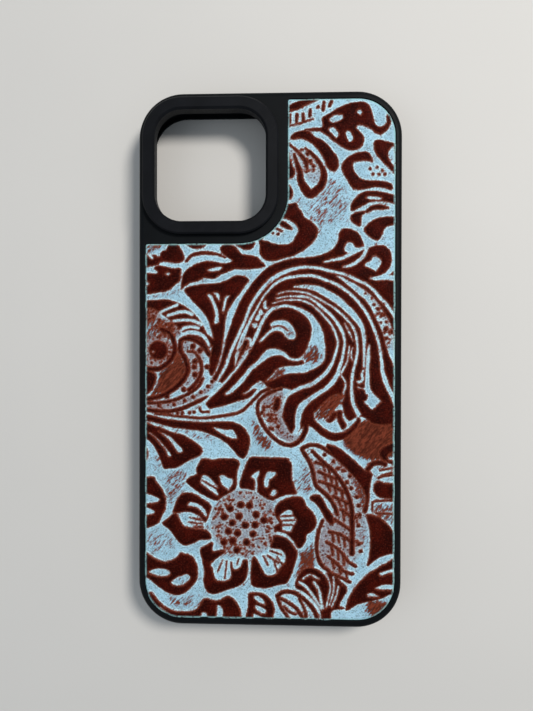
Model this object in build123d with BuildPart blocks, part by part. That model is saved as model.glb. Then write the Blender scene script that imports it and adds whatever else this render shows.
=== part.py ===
"""Slim phone case with a leather inlay on its back.

The case lies on its front lip, as it does when it is put down empty: +Z points out of the leather back,
+Y to the phone's top edge and +X to the side that carries the volume buttons. The origin is on the
supporting surface, under the middle of the case. All sizes are in millimetres.

A soft bumper frame is moulded round a stiff back plate. A camera ring with a spigot stands on the frame's
camera platform and passes through frame and plate. The leather panel is stuck to the plate with an
adhesive sheet, inside the frame's raised rim. Each button is a cap with a flange behind the side wall, so
that it can be pressed in but not pushed out.
"""

from build123d import *
import os

os.makedirs("parts", exist_ok=True)

# The phone that the case is made for
PHONE_WIDTH = 71.5
PHONE_LENGTH = 146.7
PHONE_THICKNESS = 7.8
PHONE_CORNER_RADIUS = 10.8
PHONE_CLEARANCE = 0.1

# Frame: walls round the phone, and the lip that stands in front of the screen
SIDE_WALL = 1.7
END_WALL = 2.8
LIP_HEIGHT = 1.2
LIP_OVERHANG = 1.0
LIP_EDGE_CHAMFER = 0.4
FRAME_CORNER_RADIUS = 12.7
FRAME_BACK_FILLET = 1.6
FRAME_FRONT_FILLET = 0.9

# Back plate, with a tongue into the walls all round
PLATE_THICKNESS = 1.0
PLATE_TONGUE = 0.6

# Inlay field: the recess for the leather, inside a raised rim
RIM_SIDE_WIDTH = 1.95
RIM_END_WIDTH = 2.3
RIM_HEIGHT = 1.0
RIM_EDGE_FILLET = 0.2
FIELD_CUT_CORNER = 1.0
ADHESIVE_THICKNESS = 0.1
LEATHER_THICKNESS = 1.3
LEATHER_GAP = 0.1

# Camera opening, the ring round it, and the platform that the ring stands on
CAMERA_OPENING = 31.6
CAMERA_OPENING_CORNER_RADIUS = 7.7
CAMERA_OPENING_CHAMFER = 0.6
RING_WALL = 3.6
RING_HEIGHT = 1.9
RING_OUTER_CHAMFER = 0.4
RING_FROM_SIDE = 1.35
RING_FROM_END = 1.8
PLATFORM_MARGIN = 2.5
SPIGOT_WALL = 0.8
SPIGOT_CLEARANCE = 0.05

# Buttons: the pad in the wall's window, and the flange behind it
VOLUME_UP_FROM_PHONE_TOP = 45.7
VOLUME_DOWN_FROM_PHONE_TOP = 60.35
VOLUME_PAD_LENGTH = 10.3
VOLUME_PAD_PROUD = 0.5
POWER_FROM_PHONE_TOP = 52.65
POWER_PAD_LENGTH = 17.2
POWER_PAD_PROUD = 0.3
PAD_HEIGHT = 3.6
PAD_EDGE_FILLET = 0.28
PAD_CLEARANCE = 0.12
BUTTON_TRAVEL = 0.4
FLANGE_BORDER = 0.7
FLANGE_THICKNESS = 0.45
FLANGE_STOP_GAP = 0.02
FLANGE_PHONE_GAP = 0.03

# Openings in the walls
SWITCH_FROM_PHONE_TOP = 30.6
SWITCH_LENGTH = 13.0
SWITCH_FROM_PHONE_FACES = 1.3
PORT_LENGTH = 13.5
PORT_FROM_PHONE_FACES = 0.7
SOUND_SLOT_LENGTH = 12.5
SOUND_SLOT_HEIGHT = 2.8
SOUND_SLOT_FROM_MIDDLE = 18.0
OPENING_EDGE_FILLET = 0.35

# Sizes and places that follow from those above
pocket_width = PHONE_WIDTH + 2 * PHONE_CLEARANCE
pocket_length = PHONE_LENGTH + 2 * PHONE_CLEARANCE
pocket_corner = PHONE_CORNER_RADIUS + PHONE_CLEARANCE
case_width = pocket_width + 2 * SIDE_WALL
case_length = pocket_length + 2 * END_WALL
plate_bottom = LIP_HEIGHT + PHONE_THICKNESS
plate_top = plate_bottom + PLATE_THICKNESS
frame_top = plate_top + RIM_HEIGHT
mid_phone = LIP_HEIGHT + PHONE_THICKNESS / 2
phone_top = PHONE_LENGTH / 2
switch_height = PHONE_THICKNESS - 2 * SWITCH_FROM_PHONE_FACES
port_height = PHONE_THICKNESS - 2 * PORT_FROM_PHONE_FACES
ring_size = CAMERA_OPENING + 2 * RING_WALL
ring_corner = CAMERA_OPENING_CORNER_RADIUS + RING_WALL
camera_x = RING_FROM_SIDE + ring_size / 2 - case_width / 2
camera_y = case_length / 2 - RING_FROM_END - ring_size / 2
platform_right = camera_x + ring_size / 2 + PLATFORM_MARGIN
platform_bottom = camera_y - ring_size / 2 - PLATFORM_MARGIN
spigot_size = CAMERA_OPENING + 2 * SPIGOT_WALL
spigot_corner = CAMERA_OPENING_CORNER_RADIUS + SPIGOT_WALL
spigot_hole_size = spigot_size + 2 * SPIGOT_CLEARANCE
spigot_hole_corner = spigot_corner + SPIGOT_CLEARANCE
flange_inside = pocket_width / 2 + FLANGE_PHONE_GAP + BUTTON_TRAVEL
flange_outside = flange_inside + FLANGE_THICKNESS
button_shoulder = flange_outside + FLANGE_STOP_GAP

# Each button: name, side (+1 or -1 along X), distance from the phone's top, pad length, how far it is proud
BUTTONS = [
    ("volume_up_button", 1, VOLUME_UP_FROM_PHONE_TOP, VOLUME_PAD_LENGTH, VOLUME_PAD_PROUD),
    ("volume_down_button", 1, VOLUME_DOWN_FROM_PHONE_TOP, VOLUME_PAD_LENGTH, VOLUME_PAD_PROUD),
    ("power_button", -1, POWER_FROM_PHONE_TOP, POWER_PAD_LENGTH, POWER_PAD_PROUD),
]


def side_plane(side, from_middle, along):
    """A plane across a side wall at mid-phone height, facing outwards, with its X along the case."""
    return Plane(origin=(side * from_middle, along, mid_phone), x_dir=(0, 1, 0), z_dir=(side, 0, 0))


def inlay_outline(gap):
    """The inlay field inside its rim and beside the camera platform, made smaller by a gap all round."""
    width = case_width - 2 * RIM_SIDE_WIDTH
    length = case_length - 2 * RIM_END_WIDTH
    corner = FRAME_CORNER_RADIUS - (RIM_SIDE_WIDTH + RIM_END_WIDTH) / 2
    with BuildSketch() as field:
        RectangleRounded(width - 2 * gap, length - 2 * gap, corner - gap)
        with Locations((platform_right + gap, platform_bottom - gap)):
            Rectangle(case_width, case_length, align=(Align.MAX, Align.MIN), mode=Mode.SUBTRACT)
        inner_corner = field.vertices().sort_by_distance((platform_right, platform_bottom))[0]
        fillet(inner_corner, radius=ring_corner + PLATFORM_MARGIN + gap)
        beside_ring = field.vertices().sort_by_distance((platform_right, case_length / 2))[0]
        below_ring = field.vertices().sort_by_distance((-case_width / 2, platform_bottom))[0]
        fillet([beside_ring, below_ring], radius=FIELD_CUT_CORNER)
    return field.sketch


# Bumper frame: the blank of the moulding
with BuildPart() as frame_blank:
    with BuildSketch():
        RectangleRounded(case_width, case_length, FRAME_CORNER_RADIUS)
    extrude(amount=frame_top)
    fillet(frame_blank.edges().group_by(Axis.Z)[-1], radius=FRAME_BACK_FILLET)
    fillet(frame_blank.edges().group_by(Axis.Z)[0], radius=FRAME_FRONT_FILLET)

# Bumper frame
with BuildPart() as bumper_frame:
    add(frame_blank.part)

    # Pocket for the phone, and the mouth in front of its screen
    with BuildSketch(Plane.XY.offset(LIP_HEIGHT)):
        RectangleRounded(pocket_width, pocket_length, pocket_corner)
    extrude(amount=PHONE_THICKNESS, mode=Mode.SUBTRACT)
    with BuildSketch():
        RectangleRounded(
            pocket_width - 2 * LIP_OVERHANG,
            pocket_length - 2 * LIP_OVERHANG,
            pocket_corner - LIP_OVERHANG,
        )
    extrude(amount=LIP_HEIGHT, mode=Mode.SUBTRACT)
    lip_land = bumper_frame.faces().filter_by(Axis.Z).sort_by(Axis.Z)[0]
    chamfer(lip_land.inner_wires()[0].edges(), length=LIP_EDGE_CHAMFER)

    # Groove that the back plate is moulded into
    with BuildSketch(Plane.XY.offset(plate_bottom)):
        RectangleRounded(
            pocket_width + 2 * PLATE_TONGUE,
            pocket_length + 2 * PLATE_TONGUE,
            pocket_corner + PLATE_TONGUE,
        )
    extrude(amount=PLATE_THICKNESS, mode=Mode.SUBTRACT)

    # Recess for the leather
    with BuildSketch(Plane.XY.offset(plate_top)):
        add(inlay_outline(0))
    extrude(amount=RIM_HEIGHT, mode=Mode.SUBTRACT)
    rim_top = bumper_frame.faces().filter_by(Axis.Z).sort_by(Axis.Z)[-1]
    fillet(rim_top.inner_wires()[0].edges(), radius=RIM_EDGE_FILLET)

    # Camera opening, which takes the ring's spigot
    with BuildSketch(Plane.XY.offset(plate_top)):
        with Locations((camera_x, camera_y)):
            RectangleRounded(spigot_hole_size, spigot_hole_size, spigot_hole_corner)
    extrude(amount=RIM_HEIGHT, mode=Mode.SUBTRACT)

    # Button windows in the side walls, and a wider seat behind each for the flange
    for name, side, from_phone_top, pad_length, proud in BUTTONS:
        seat_border = 2 * (FLANGE_BORDER + PAD_CLEARANCE)
        with BuildSketch(side_plane(side, pocket_width / 2, phone_top - from_phone_top)):
            SlotOverall(pad_length + 2 * PAD_CLEARANCE, PAD_HEIGHT + 2 * PAD_CLEARANCE)
        extrude(amount=SIDE_WALL, mode=Mode.SUBTRACT)
        with BuildSketch(side_plane(side, pocket_width / 2, phone_top - from_phone_top)):
            SlotOverall(pad_length + seat_border, PAD_HEIGHT + seat_border)
        extrude(amount=button_shoulder - pocket_width / 2, mode=Mode.SUBTRACT)

    # Switch opening beside the volume buttons; port and sound openings in the bottom end wall
    with BuildSketch(side_plane(1, pocket_width / 2, phone_top - SWITCH_FROM_PHONE_TOP)):
        SlotOverall(SWITCH_LENGTH, switch_height)
    extrude(amount=SIDE_WALL, mode=Mode.SUBTRACT)
    with BuildSketch(Plane(origin=(0, -pocket_length / 2, mid_phone), x_dir=(1, 0, 0), z_dir=(0, -1, 0))):
        SlotOverall(PORT_LENGTH, port_height)
        with Locations((-SOUND_SLOT_FROM_MIDDLE, 0), (SOUND_SLOT_FROM_MIDDLE, 0)):
            SlotOverall(SOUND_SLOT_LENGTH, SOUND_SLOT_HEIGHT)
    extrude(amount=END_WALL, mode=Mode.SUBTRACT)

    # Every window and opening has a rounded edge on the outside
    left_wall = bumper_frame.faces().filter_by(Axis.X).sort_by(Axis.X)[0]
    right_wall = bumper_frame.faces().filter_by(Axis.X).sort_by(Axis.X)[-1]
    end_wall = bumper_frame.faces().filter_by(Axis.Y).sort_by(Axis.Y)[0]
    window_wires = left_wall.inner_wires() + right_wall.inner_wires() + end_wall.inner_wires()
    fillet(window_wires.edges(), radius=OPENING_EDGE_FILLET)
bumper_frame.part.label = "bumper_frame"
export_step(bumper_frame.part, "parts/bumper_frame.step")

# Back plate
with BuildPart() as back_plate:
    with BuildSketch(Plane.XY.offset(plate_bottom)):
        RectangleRounded(
            pocket_width + 2 * PLATE_TONGUE,
            pocket_length + 2 * PLATE_TONGUE,
            pocket_corner + PLATE_TONGUE,
        )
        with Locations((camera_x, camera_y)):
            RectangleRounded(spigot_hole_size, spigot_hole_size, spigot_hole_corner, mode=Mode.SUBTRACT)
    extrude(amount=PLATE_THICKNESS)
back_plate.part.label = "back_plate"
export_step(back_plate.part, "parts/back_plate.step")

# Camera ring: the raised ring, and its spigot through frame and plate
with BuildPart() as camera_ring:
    with BuildSketch(Plane.XY.offset(frame_top)):
        with Locations((camera_x, camera_y)):
            RectangleRounded(ring_size, ring_size, ring_corner)
    extrude(amount=RING_HEIGHT)
    chamfer(camera_ring.edges().group_by(Axis.Z)[-1], length=RING_OUTER_CHAMFER)
    with BuildSketch(Plane.XY.offset(plate_bottom)):
        with Locations((camera_x, camera_y)):
            RectangleRounded(spigot_size, spigot_size, spigot_corner)
    extrude(amount=frame_top - plate_bottom)
    with BuildSketch(Plane.XY.offset(plate_bottom)):
        with Locations((camera_x, camera_y)):
            RectangleRounded(CAMERA_OPENING, CAMERA_OPENING, CAMERA_OPENING_CORNER_RADIUS)
    extrude(amount=frame_top + RING_HEIGHT - plate_bottom, mode=Mode.SUBTRACT)
    ring_face = camera_ring.faces().filter_by(Axis.Z).sort_by(Axis.Z)[-1]
    chamfer(ring_face.inner_wires()[0].edges(), length=CAMERA_OPENING_CHAMFER)
camera_ring.part.label = "camera_ring"
export_step(camera_ring.part, "parts/camera_ring.step")

# Adhesive sheet under the leather
with BuildPart() as adhesive_sheet:
    with BuildSketch(Plane.XY.offset(plate_top)):
        add(inlay_outline(LEATHER_GAP))
    extrude(amount=ADHESIVE_THICKNESS)
adhesive_sheet.part.label = "adhesive_sheet"
export_step(adhesive_sheet.part, "parts/adhesive_sheet.step")

# Leather panel
with BuildPart() as leather_panel:
    with BuildSketch(Plane.XY.offset(plate_top + ADHESIVE_THICKNESS)):
        add(inlay_outline(LEATHER_GAP))
    extrude(amount=LEATHER_THICKNESS)
leather_panel.part.label = "leather_panel"
export_step(leather_panel.part, "parts/leather_panel.step")

# Buttons: a rounded pad in the wall's window, and a flange behind the wall
for name, side, from_phone_top, pad_length, proud in BUTTONS:
    along = phone_top - from_phone_top
    with BuildPart() as button:
        with BuildSketch(side_plane(side, flange_inside, along)):
            SlotOverall(pad_length + 2 * FLANGE_BORDER, PAD_HEIGHT + 2 * FLANGE_BORDER)
        extrude(amount=FLANGE_THICKNESS)
        with BuildSketch(side_plane(side, flange_outside, along)):
            SlotOverall(pad_length, PAD_HEIGHT)
        extrude(amount=case_width / 2 + proud - flange_outside)
        pad_face = button.faces().sort_by(Axis((0, 0, 0), (side, 0, 0)))[-1]
        fillet(pad_face.edges(), radius=PAD_EDGE_FILLET)
    button.part.label = name
    export_step(button.part, f"parts/{name}.step")
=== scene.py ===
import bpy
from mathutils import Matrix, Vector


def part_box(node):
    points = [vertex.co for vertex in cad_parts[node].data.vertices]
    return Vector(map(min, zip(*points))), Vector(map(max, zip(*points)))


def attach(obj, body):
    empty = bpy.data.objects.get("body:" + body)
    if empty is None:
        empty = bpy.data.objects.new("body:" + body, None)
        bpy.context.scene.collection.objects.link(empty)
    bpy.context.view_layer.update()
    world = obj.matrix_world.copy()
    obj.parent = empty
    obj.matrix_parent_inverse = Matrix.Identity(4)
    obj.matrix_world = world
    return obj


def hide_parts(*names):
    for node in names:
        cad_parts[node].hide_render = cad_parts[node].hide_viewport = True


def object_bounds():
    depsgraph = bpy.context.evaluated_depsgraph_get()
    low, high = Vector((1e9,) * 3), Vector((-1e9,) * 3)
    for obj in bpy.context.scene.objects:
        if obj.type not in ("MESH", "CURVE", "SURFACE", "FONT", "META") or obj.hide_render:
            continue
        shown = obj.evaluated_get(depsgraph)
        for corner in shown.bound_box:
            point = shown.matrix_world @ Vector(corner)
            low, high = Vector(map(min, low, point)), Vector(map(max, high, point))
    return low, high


bl_info = {
    "name": "Tooled Leather Phone Case",
    "version": (1, 0, 0),
    "blender": (4, 5, 0),
    "location": "View3D > Sidebar > Phone Case",
    "description": "Finishes a bumper phone case with a two-tone tooled leather back",
    "category": "Add Mesh",
}

import bmesh
import bpy
import numpy as np
from bpy.props import FloatProperty, FloatVectorProperty, PointerProperty
from bpy.types import Operator, Panel, PropertyGroup
from mathutils import Euler, Vector

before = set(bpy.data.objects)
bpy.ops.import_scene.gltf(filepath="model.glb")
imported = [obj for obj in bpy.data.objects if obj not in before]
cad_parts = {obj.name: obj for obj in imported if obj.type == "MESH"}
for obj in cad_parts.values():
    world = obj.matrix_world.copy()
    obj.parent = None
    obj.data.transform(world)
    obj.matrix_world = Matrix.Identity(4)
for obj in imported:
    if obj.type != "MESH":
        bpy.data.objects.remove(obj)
CAD_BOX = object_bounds()
LEATHER_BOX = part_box("leather_panel")
MM = 0.001

# The hand tooling, laid down in order: kind, widths and points, in millimetres on the leather's
# face. "raise" lifts a pad and "press" sinks a ground. With widths the points are the middle line
# of a stroke, and without them an outline. "dot" lifts round seeds, and its width is their radius.
LOOP_LEFT = (
    ("raise", "",
     "-28.5,33.2 -26.5,33 -25.3,31.5 -24.4,29.6 -24.6,28.3 -26.3,27.6 -29,28 -31,28 -32,27.1 "
     "-34.3,26.7 -36,27 -36,30 -34,29.8 -31.5,30 -30.5,31 -29.5,31.3"),
    ("raise", "",
     "-33,26.2 -31.7,26.8 -29.8,26.5 -27.6,26 -25.4,25.9 -25.4,24.3 -25.5,22.7 -26.9,21.5 -28.9,19.9 "
     "-31.7,19.3 -36,19.1 -36,24.3 -32.4,24.5 -31.9,25.3"),
    ("press", "", "-29.8,24.5 -29,25.1 -28.2,24.5 -29,23.9"),
    ("press", "", "-35.7,21.7 -35,22.4 -34.3,21.7 -35,21"),
    ("press", "1.1", "-34.2,32.7 -31.8,30"),
    ("press", ".8", "-36,31.6 -33.6,29.2"),
    ("raise", "",
     "-25.2,20.2 -24.9,23.1 -24.1,25 -22.2,26.6 -20.2,27.5 -17.7,28 -15.2,27.8 -12.9,27.3 -10.5,28 "
     "-11.3,28.9 -12.9,30 -13.9,31.3 -13.4,32.4 -12,32.9 -10.1,32.4 -8.8,31 -7.6,29.9 -5.3,29.6 "
     "-3.4,29.1 -2.5,28.1 -1.2,26.7 -3.1,26.1 -6.3,25.8 -10.1,25.9 -11,25.4 -13.9,24.3 -15.8,23.2 "
     "-18.3,23.4 -20.3,22.6 -23.1,21.8 -24.7,20.5"),
    ("press", "", "-17.7,25.6 -16.4,26.2 -13.9,26.7 -13.3,26.2 -14.5,25.3 -17.1,25.1"),
    ("raise", ".5 .8 .8 .8 .6 .3", "-23.8,28.1 -22.2,29.7 -19.6,30.4 -17.1,30.4 -14.5,29.9 -12.6,29.1"),
    ("raise", "", "-23.8,33.4 -18,33.4 -19.5,31.9 -22,31.9"),
    ("raise", "", "-9.4,33.2 -4.4,33.9 -4.8,31.9 -6.5,31.3 -8,31.8"),
    ("raise", "",
     "-24.2,19.9 -22.8,20.7 -20.3,21.3 -17.4,21.5 -14.5,21.8 -12,22.6 -10.1,23.7 -8.2,23.9 -6.3,23.2 "
     "-5.9,22.4 -6.9,21.2 -8.2,19.2 -9.8,17.3 -11,15.4 -12,13.5 -12.6,11 -12.9,7.9 -13.4,4 -14,1 "
     "-15,-2 -16.3,-4.6 -17.2,-3 -16.9,0 -16.4,3 -15.9,5.5 -16.1,7.2 -16.7,9.4 -17.7,12 -19.3,14.2 "
     "-21.2,16.1 -23.1,18.3"),
    ("press", "",
     "-17.7,18.4 -16.4,18.6 -15.5,16.7 -14.5,14.2 -14.2,11.3 -14.5,10.4 -15.8,10.2 -15.6,12.9 "
     "-16.4,16.1"),
    ("press", "", "-16.1,19.2 -14.5,19.1 -14,17.7 -14.2,16.6 -15.2,18"),
    ("press", "", "-12.6,18.1 -11.2,18.3 -12,16.7 -12.6,14.2 -13.1,13.1 -13.4,14.2 -13.1,16.4"),
    ("raise", "",
     "-36,16.7 -31.7,17 -28.5,16.9 -25.4,15.8 -22.8,14.2 -20.6,12 -19,9.7 -17.7,7.2 -15,5 -18,3.2 "
     "-20,5.5 -23,6.4 -25.4,8.6 -27.2,10.4 -29.4,12.2 -31.8,13.8 -34,14.7 -37,14.8 -37,16.7"),
    ("dot", ".4", "-35,13.4 -33.2,12.4 -34.6,11.4 -31.4,11.2 -29.6,10 -32.4,9.6 -28.4,8.4 -30.6,8.2"),
    ("press", ".8", "-31.6,13.2 -29.2,14.5 -26.4,15.6"),
    ("press", "1", "-28.9,12.6 -26.3,13.4 -24.1,13.7 -22,12.9"),
    ("press", ".9", "-27.4,11 -24.7,11.3 -22.2,11.2 -20.3,10.5 -19.3,9.9"),
    ("press", ".9", "-25.3,8.2 -24.1,9.1 -22.2,9.4 -20.3,9"),
    ("press", "1 1.3 .8", "-24.9,7.2 -22.8,7.7 -20.3,7.5 -18.4,6.3 -17.1,4"),
    ("press", ".6 .6 .8 1 1.1 1.1 1.1 .9 .5",
     "-30,17.6 -27.3,17.5 -25.4,17 -23.5,16.4 -21.5,15.1 -19.6,13.2 -18,11 -17.1,8.8 -16.4,7.2"),
)
COIL = (
    ("dot", "2.7", "-31.7,2.7"),
    ("press", "", "-33.6,2.2 -33.2,2.6 -32.8,2.2 -33.2,1.8"),
    ("press", ".4", "-32.4,6 -29.8,5"),
    ("raise", "1.3", "-30.8,8.7 -28.5,7.6 -27.3,5.3 -26.9,2.8 -27.9,.3 -29.8,-1.6 -32,-2.7 -36,-2.5"),
    ("raise", "", "-36,-3.6 -33,-3.9 -32.3,-5.2 -32.9,-7.4 -33.9,-9 -36,-9.9"),
    ("raise", "1.2 1.5 1.1",
     "-25.4,4.7 -25.5,2.8 -24.1,.3 -23.3,-2.3 -23.8,-4.5 -25.4,-6.7 -27.6,-8.6 -30.4,-10.2 -33,-11 "
     "-36,-11.5"),
    ("raise", "1.2", "-25.4,5.3 -24.4,6 -22.5,6 -20.6,5.3 -18.7,3.8 -17.1,1.5"),
    ("press", "",
     "-24.7,4.2 -23.6,4.9 -21.5,4.9 -20,4 -18.3,2 -17.1,0 -17,-2 -17.8,-3.5 -19.5,-5.5 -21,-7.5 "
     "-23.5,-9.2 -27.5,-10.2 -25.5,-8.8 -23.8,-7 -22.6,-5 -22.2,-2.5 -22.6,0 -23.6,2 -24.8,3.3"),
    ("raise", ".5 1.2", "-23.3,2.3 -21.5,2.2 -19.9,.3 -19.3,-2.3 -19.6,-4.5 -20.9,-6.7 -22.8,-8.6"),
    ("dot", ".7", "-21.8,3.8 -19.8,2.6 -21.2,-.5 -21.4,-2.1 -21.2,-4.3 -17.7,-2.1 -24.4,-8.6 -29.2,-10.5"),
    ("raise", ".8", "-19,-5.5 -20.3,-7.7 -22.8,-9.6 -26,-11.2 -30.1,-12.2 -36,-12.5"),
    ("dot", ".45", "-16.3,-6.2 -17.5,-7.6 -19.5,-9.3 -21.7,-10.7 -24.2,-11.8 -27.2,-12.9 -31.5,-13.2"),
    ("raise", "1", "-17.7,-10.9 -19.9,-11.8 -22.8,-13.1 -25.4,-14.2 -28.5,-14.8 -31.7,-14.8 -36,-14.2"),
    ("raise", ".5", "-19.9,-13.4 -19.4,-14.8 -17.2,-14.9"),
    ("raise", ".4 .8",
     "-32.7,-15.5 -20.3,-16.7 -15.8,-16.4 -11,-15.7 -8.2,-14.9 -6.2,-13.3 -4.3,-11.4 -2.1,-9.2 .1,-8.3"),
    ("dot", ".4", "-26.2,-15.4 -24.8,-15.3 -22.8,-15.2 -21.4,-15"),
    ("raise", "",
     "-36,-15.7 -33,-16.3 -30,-17 -26,-17.5 -22,-17.8 -18,-17.9 -14,-17.8 -11,-17.8 -9,-18.3 "
     "-7.2,-19.5 -6,-21.3 -5.5,-23.5 -6,-26 -7,-27.9 -7.9,-28 -8.9,-27.2 -10,-25.9 -11.5,-24.3 "
     "-13.5,-22.8 -16,-21.5 -18.5,-20.6 -21,-20.1 -24,-19.8 -28,-19.3 -31,-18.5 -33.5,-17.8 -36,-17.3"),
    ("press", "",
     "-16,-19.4 -14.5,-19.4 -12.6,-19.9 -10.4,-19.9 -9.4,-21.2 -8.9,-22.6 -10.4,-22.6 -12.6,-21.7 "
     "-14.5,-20.7"),
    ("raise", "",
     "-36,-18.2 -33,-19 -29.8,-20.1 -26.9,-21.1 -24.4,-21.7 -22.2,-23 -20.3,-24.3 -19.1,-25.8 "
     "-19.9,-27.4 -22.2,-28.5 -24.4,-29.7 -26.3,-30.8 -28.2,-31.1 -30.1,-31.1 -30.9,-29 -32,-26.5 "
     "-33.3,-24.2 -36,-21.5"),
    ("press", "",
     "-34.6,-20.9 -33.3,-21.4 -31.4,-23 -29.8,-24.9 -28.5,-26.5 -27.9,-27.7 -28.9,-27.7 -29.6,-26.2 "
     "-31.1,-24.3 -33,-22.3"),
    ("press", "",
     "-31.6,-20.5 -30.4,-21 -28.2,-22 -26.3,-24 -25,-25.3 -24.7,-26.4 -26,-26.7 -26.9,-25.6 "
     "-28.2,-23.7 -30.1,-21.8"),
    ("raise", "", "-36,-25 -34.9,-26 -34.9,-28 -36,-29"),
)
TOP_RIGHT = (
    ("raise", "",
     "-2.6,35 -2.6,32.5 -2.5,30 -.9,28.4 1.7,28.2 4.2,29 6.7,29.6 8.9,30.7 11.1,32.3 13,34.2 13.7,36.4 "
     "13.3,37.6 11.8,39.2 9.9,40.4 8.9,42.3 8.2,43.1 7.6,44.4 6.3,44.2 4.1,43.8 2,42"),
    ("press", "",
     "2,39.7 3.6,40.3 5.8,39.7 7.7,38.3 8.3,36.7 7.4,34.8 6.4,33.2 4.2,32.6 1.7,32.8 -.2,33.5 -2,34.5"),
    ("raise", "", "2.6,39.2 4.2,39.2 6.1,37.8 6.3,37 4.2,37.6 3,38.4"),
    ("raise", ".4", "1.4,37.6 3.6,36.5"),
    ("dot", ".3", "1,36 2.5,35.7"),
    ("raise", "",
     "36.5,40.2 33.1,40.3 30.9,40 29,39.2 27.4,37.8 26.8,36.9 27.7,35.4 29.3,34.2 30.6,33.9 31.7,35.1 "
     "32.4,37 33.7,37.9 36.5,38.7"),
    ("raise", "", "23.3,41 25.1,41.8 27.1,41.9 26,40.5 25.6,37.8 23.2,39.2"),
    ("raise", "", "5,71.5 7,72.8 10,73.6 14,73.8 11,72.4 8,71 5,70.3"),
    ("raise", ".7", "5.7,69.4 5.7,67.1"),
    ("raise", ".7", "7.7,69.5 7.7,67.4"),
    ("raise", ".7", "9.5,69.7 9.6,68"),
    ("raise", ".7", "11.5,70.8 11.4,69.1"),
    ("raise", ".7", "15.4,72.9 15.1,70.7"),
    ("raise", ".7", "17.5,73.2 17,71.8"),
    ("dot", ".4", "13.7,71.6"),
    ("raise", ".4", "5,66.2 7.9,66.8 10.4,67.6 12.3,68.2"),
    ("raise", "",
     "14.9,68.3 16,69.1 17.9,70.2 19.8,71.3 22.3,72.3 24.5,72.7 26.7,72.7 28,71.8 28.7,70.2 29.2,68.3 "
     "29.8,66.4 31.1,65.6 32.3,66 33.1,67 33.1,68.9 33.9,69.1 34.2,68 33.9,66.1 32.7,64.5 31.4,63.6 "
     "30.1,64 28.9,65 27.3,65.9 25.4,66.4 24.5,65.8 24.8,65 26.1,63.7 26.6,62.3 26.1,60.5 24.5,59.5 "
     "22.6,59.3 20.8,60.1 18.9,61.4 17.3,62.6 14.8,64.5 12,64.8 9.9,65.2 12.9,65.6 15.1,65.9"),
    ("press", "", "16.8,67.8 17.5,68.8 19.2,69.4 20.7,69.1 20.7,68.1 19.5,67.4 17.9,67"),
    ("press", "", "24.5,70.2 25.6,70.8 26.2,70 25.9,68.9 25,69.4"),
    ("press", "", "16.7,65.5 18.2,65.8 19.2,64.8 19.6,63.6 18.9,62.6 17.9,63.6 17,64.5"),
    ("press", "", "21.4,64.4 22.6,64.7 23.5,63.6 23.7,62.2 22.6,61.5 21.8,62.6"),
    ("raise", "",
     "6,63 7,64.2 9.5,64.9 11.3,64.5 12.9,63 14.8,62.2 16.4,60.8 17.9,58.9 19.2,57 19.4,54.8 18.3,53.4 "
     "16.7,54.2 15.6,56.4 14.5,58.6 12.9,60.5 11.1,61.9 8.9,62.7 7,62.5"),
    ("raise", ".5 .8 1 1.2 1.5 1.8 2 2.2 2.4 2 1.6 1.3 .8 .5",
     "10.2,59.9 11.7,58.6 13.2,57 14.5,55.2 15.3,53.3 15.4,51.4 14.5,49.2 12.9,47.7 11.4,47 9.8,49 "
     "8.9,50.8 8.6,53 7.9,55.5 7,58.3"),
    ("raise", ".4 .6 .8 1 .5", "5.2,61.4 7.3,59.7 8.9,58 10.3,56.1 10.7,53.6"),
    ("dot", ".4", "9.2,59.5 10.8,58.3 11.7,56.4 12.5,54.8 12.5,53.7"),
    ("raise", "", "5,58.5 5.8,57 6.5,55 7.2,53.5 6.8,52 5.6,51.4 4.8,52"),
    ("raise", "", "5,49.7 6,49 6.6,47.2 6.2,45.9 5,45.7"),
    ("raise", "",
     "29.1,56 28.5,57.7 27.6,58.6 25.7,58.6 23.5,58 21.6,56.7 20.5,54.8 21,52.6 22.3,50.5 23.5,48.6 "
     "24.8,48.1 27.3,48.4 29.8,48.9 32.3,48.6 34.3,48 34.6,49.2 32.9,50.2 30.4,50.5 27.9,50.6 "
     "25.7,51.2 24.2,52.7 23.5,54.5 23.8,55.8 25.4,56.2 27.3,56.4"),
    ("dot", ".35", "28.4,54 30.4,54.4 29.2,52.4 30.9,52.4 31.8,53.4 32.6,52.4"),
    ("raise", "",
     "29.5,61.4 31,62 33.2,61.5 35.1,60.9 36.5,60 36.5,51.5 35.5,52.2 34.2,53.6 32.6,55.2 31,57 "
     "29.8,58.9"),
    ("press", "", "33.2,58 34.2,59.8 35.1,60.1 35.6,57.6 35.3,54.8 34.3,55.4"),
    ("raise", "",
     "23,42.6 23.3,44.2 24.6,45.9 26.4,47.3 28.9,47.6 31.7,47.3 33.9,46.8 36.5,46 36.5,44 33.9,44.5 "
     "32,44.8 29.2,44.8 27,43.9 24.8,42.9 23.6,42.2"),
    ("press", "", "27.2,45.9 28.6,46.4 31.1,46.1 31.9,45.4 30.4,45.1 27.9,45.4"),
    ("raise", ".8 1.3 1.2 .5", "27.6,42 29.1,42.9 31,43.2 33.5,42.9"),
)
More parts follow.
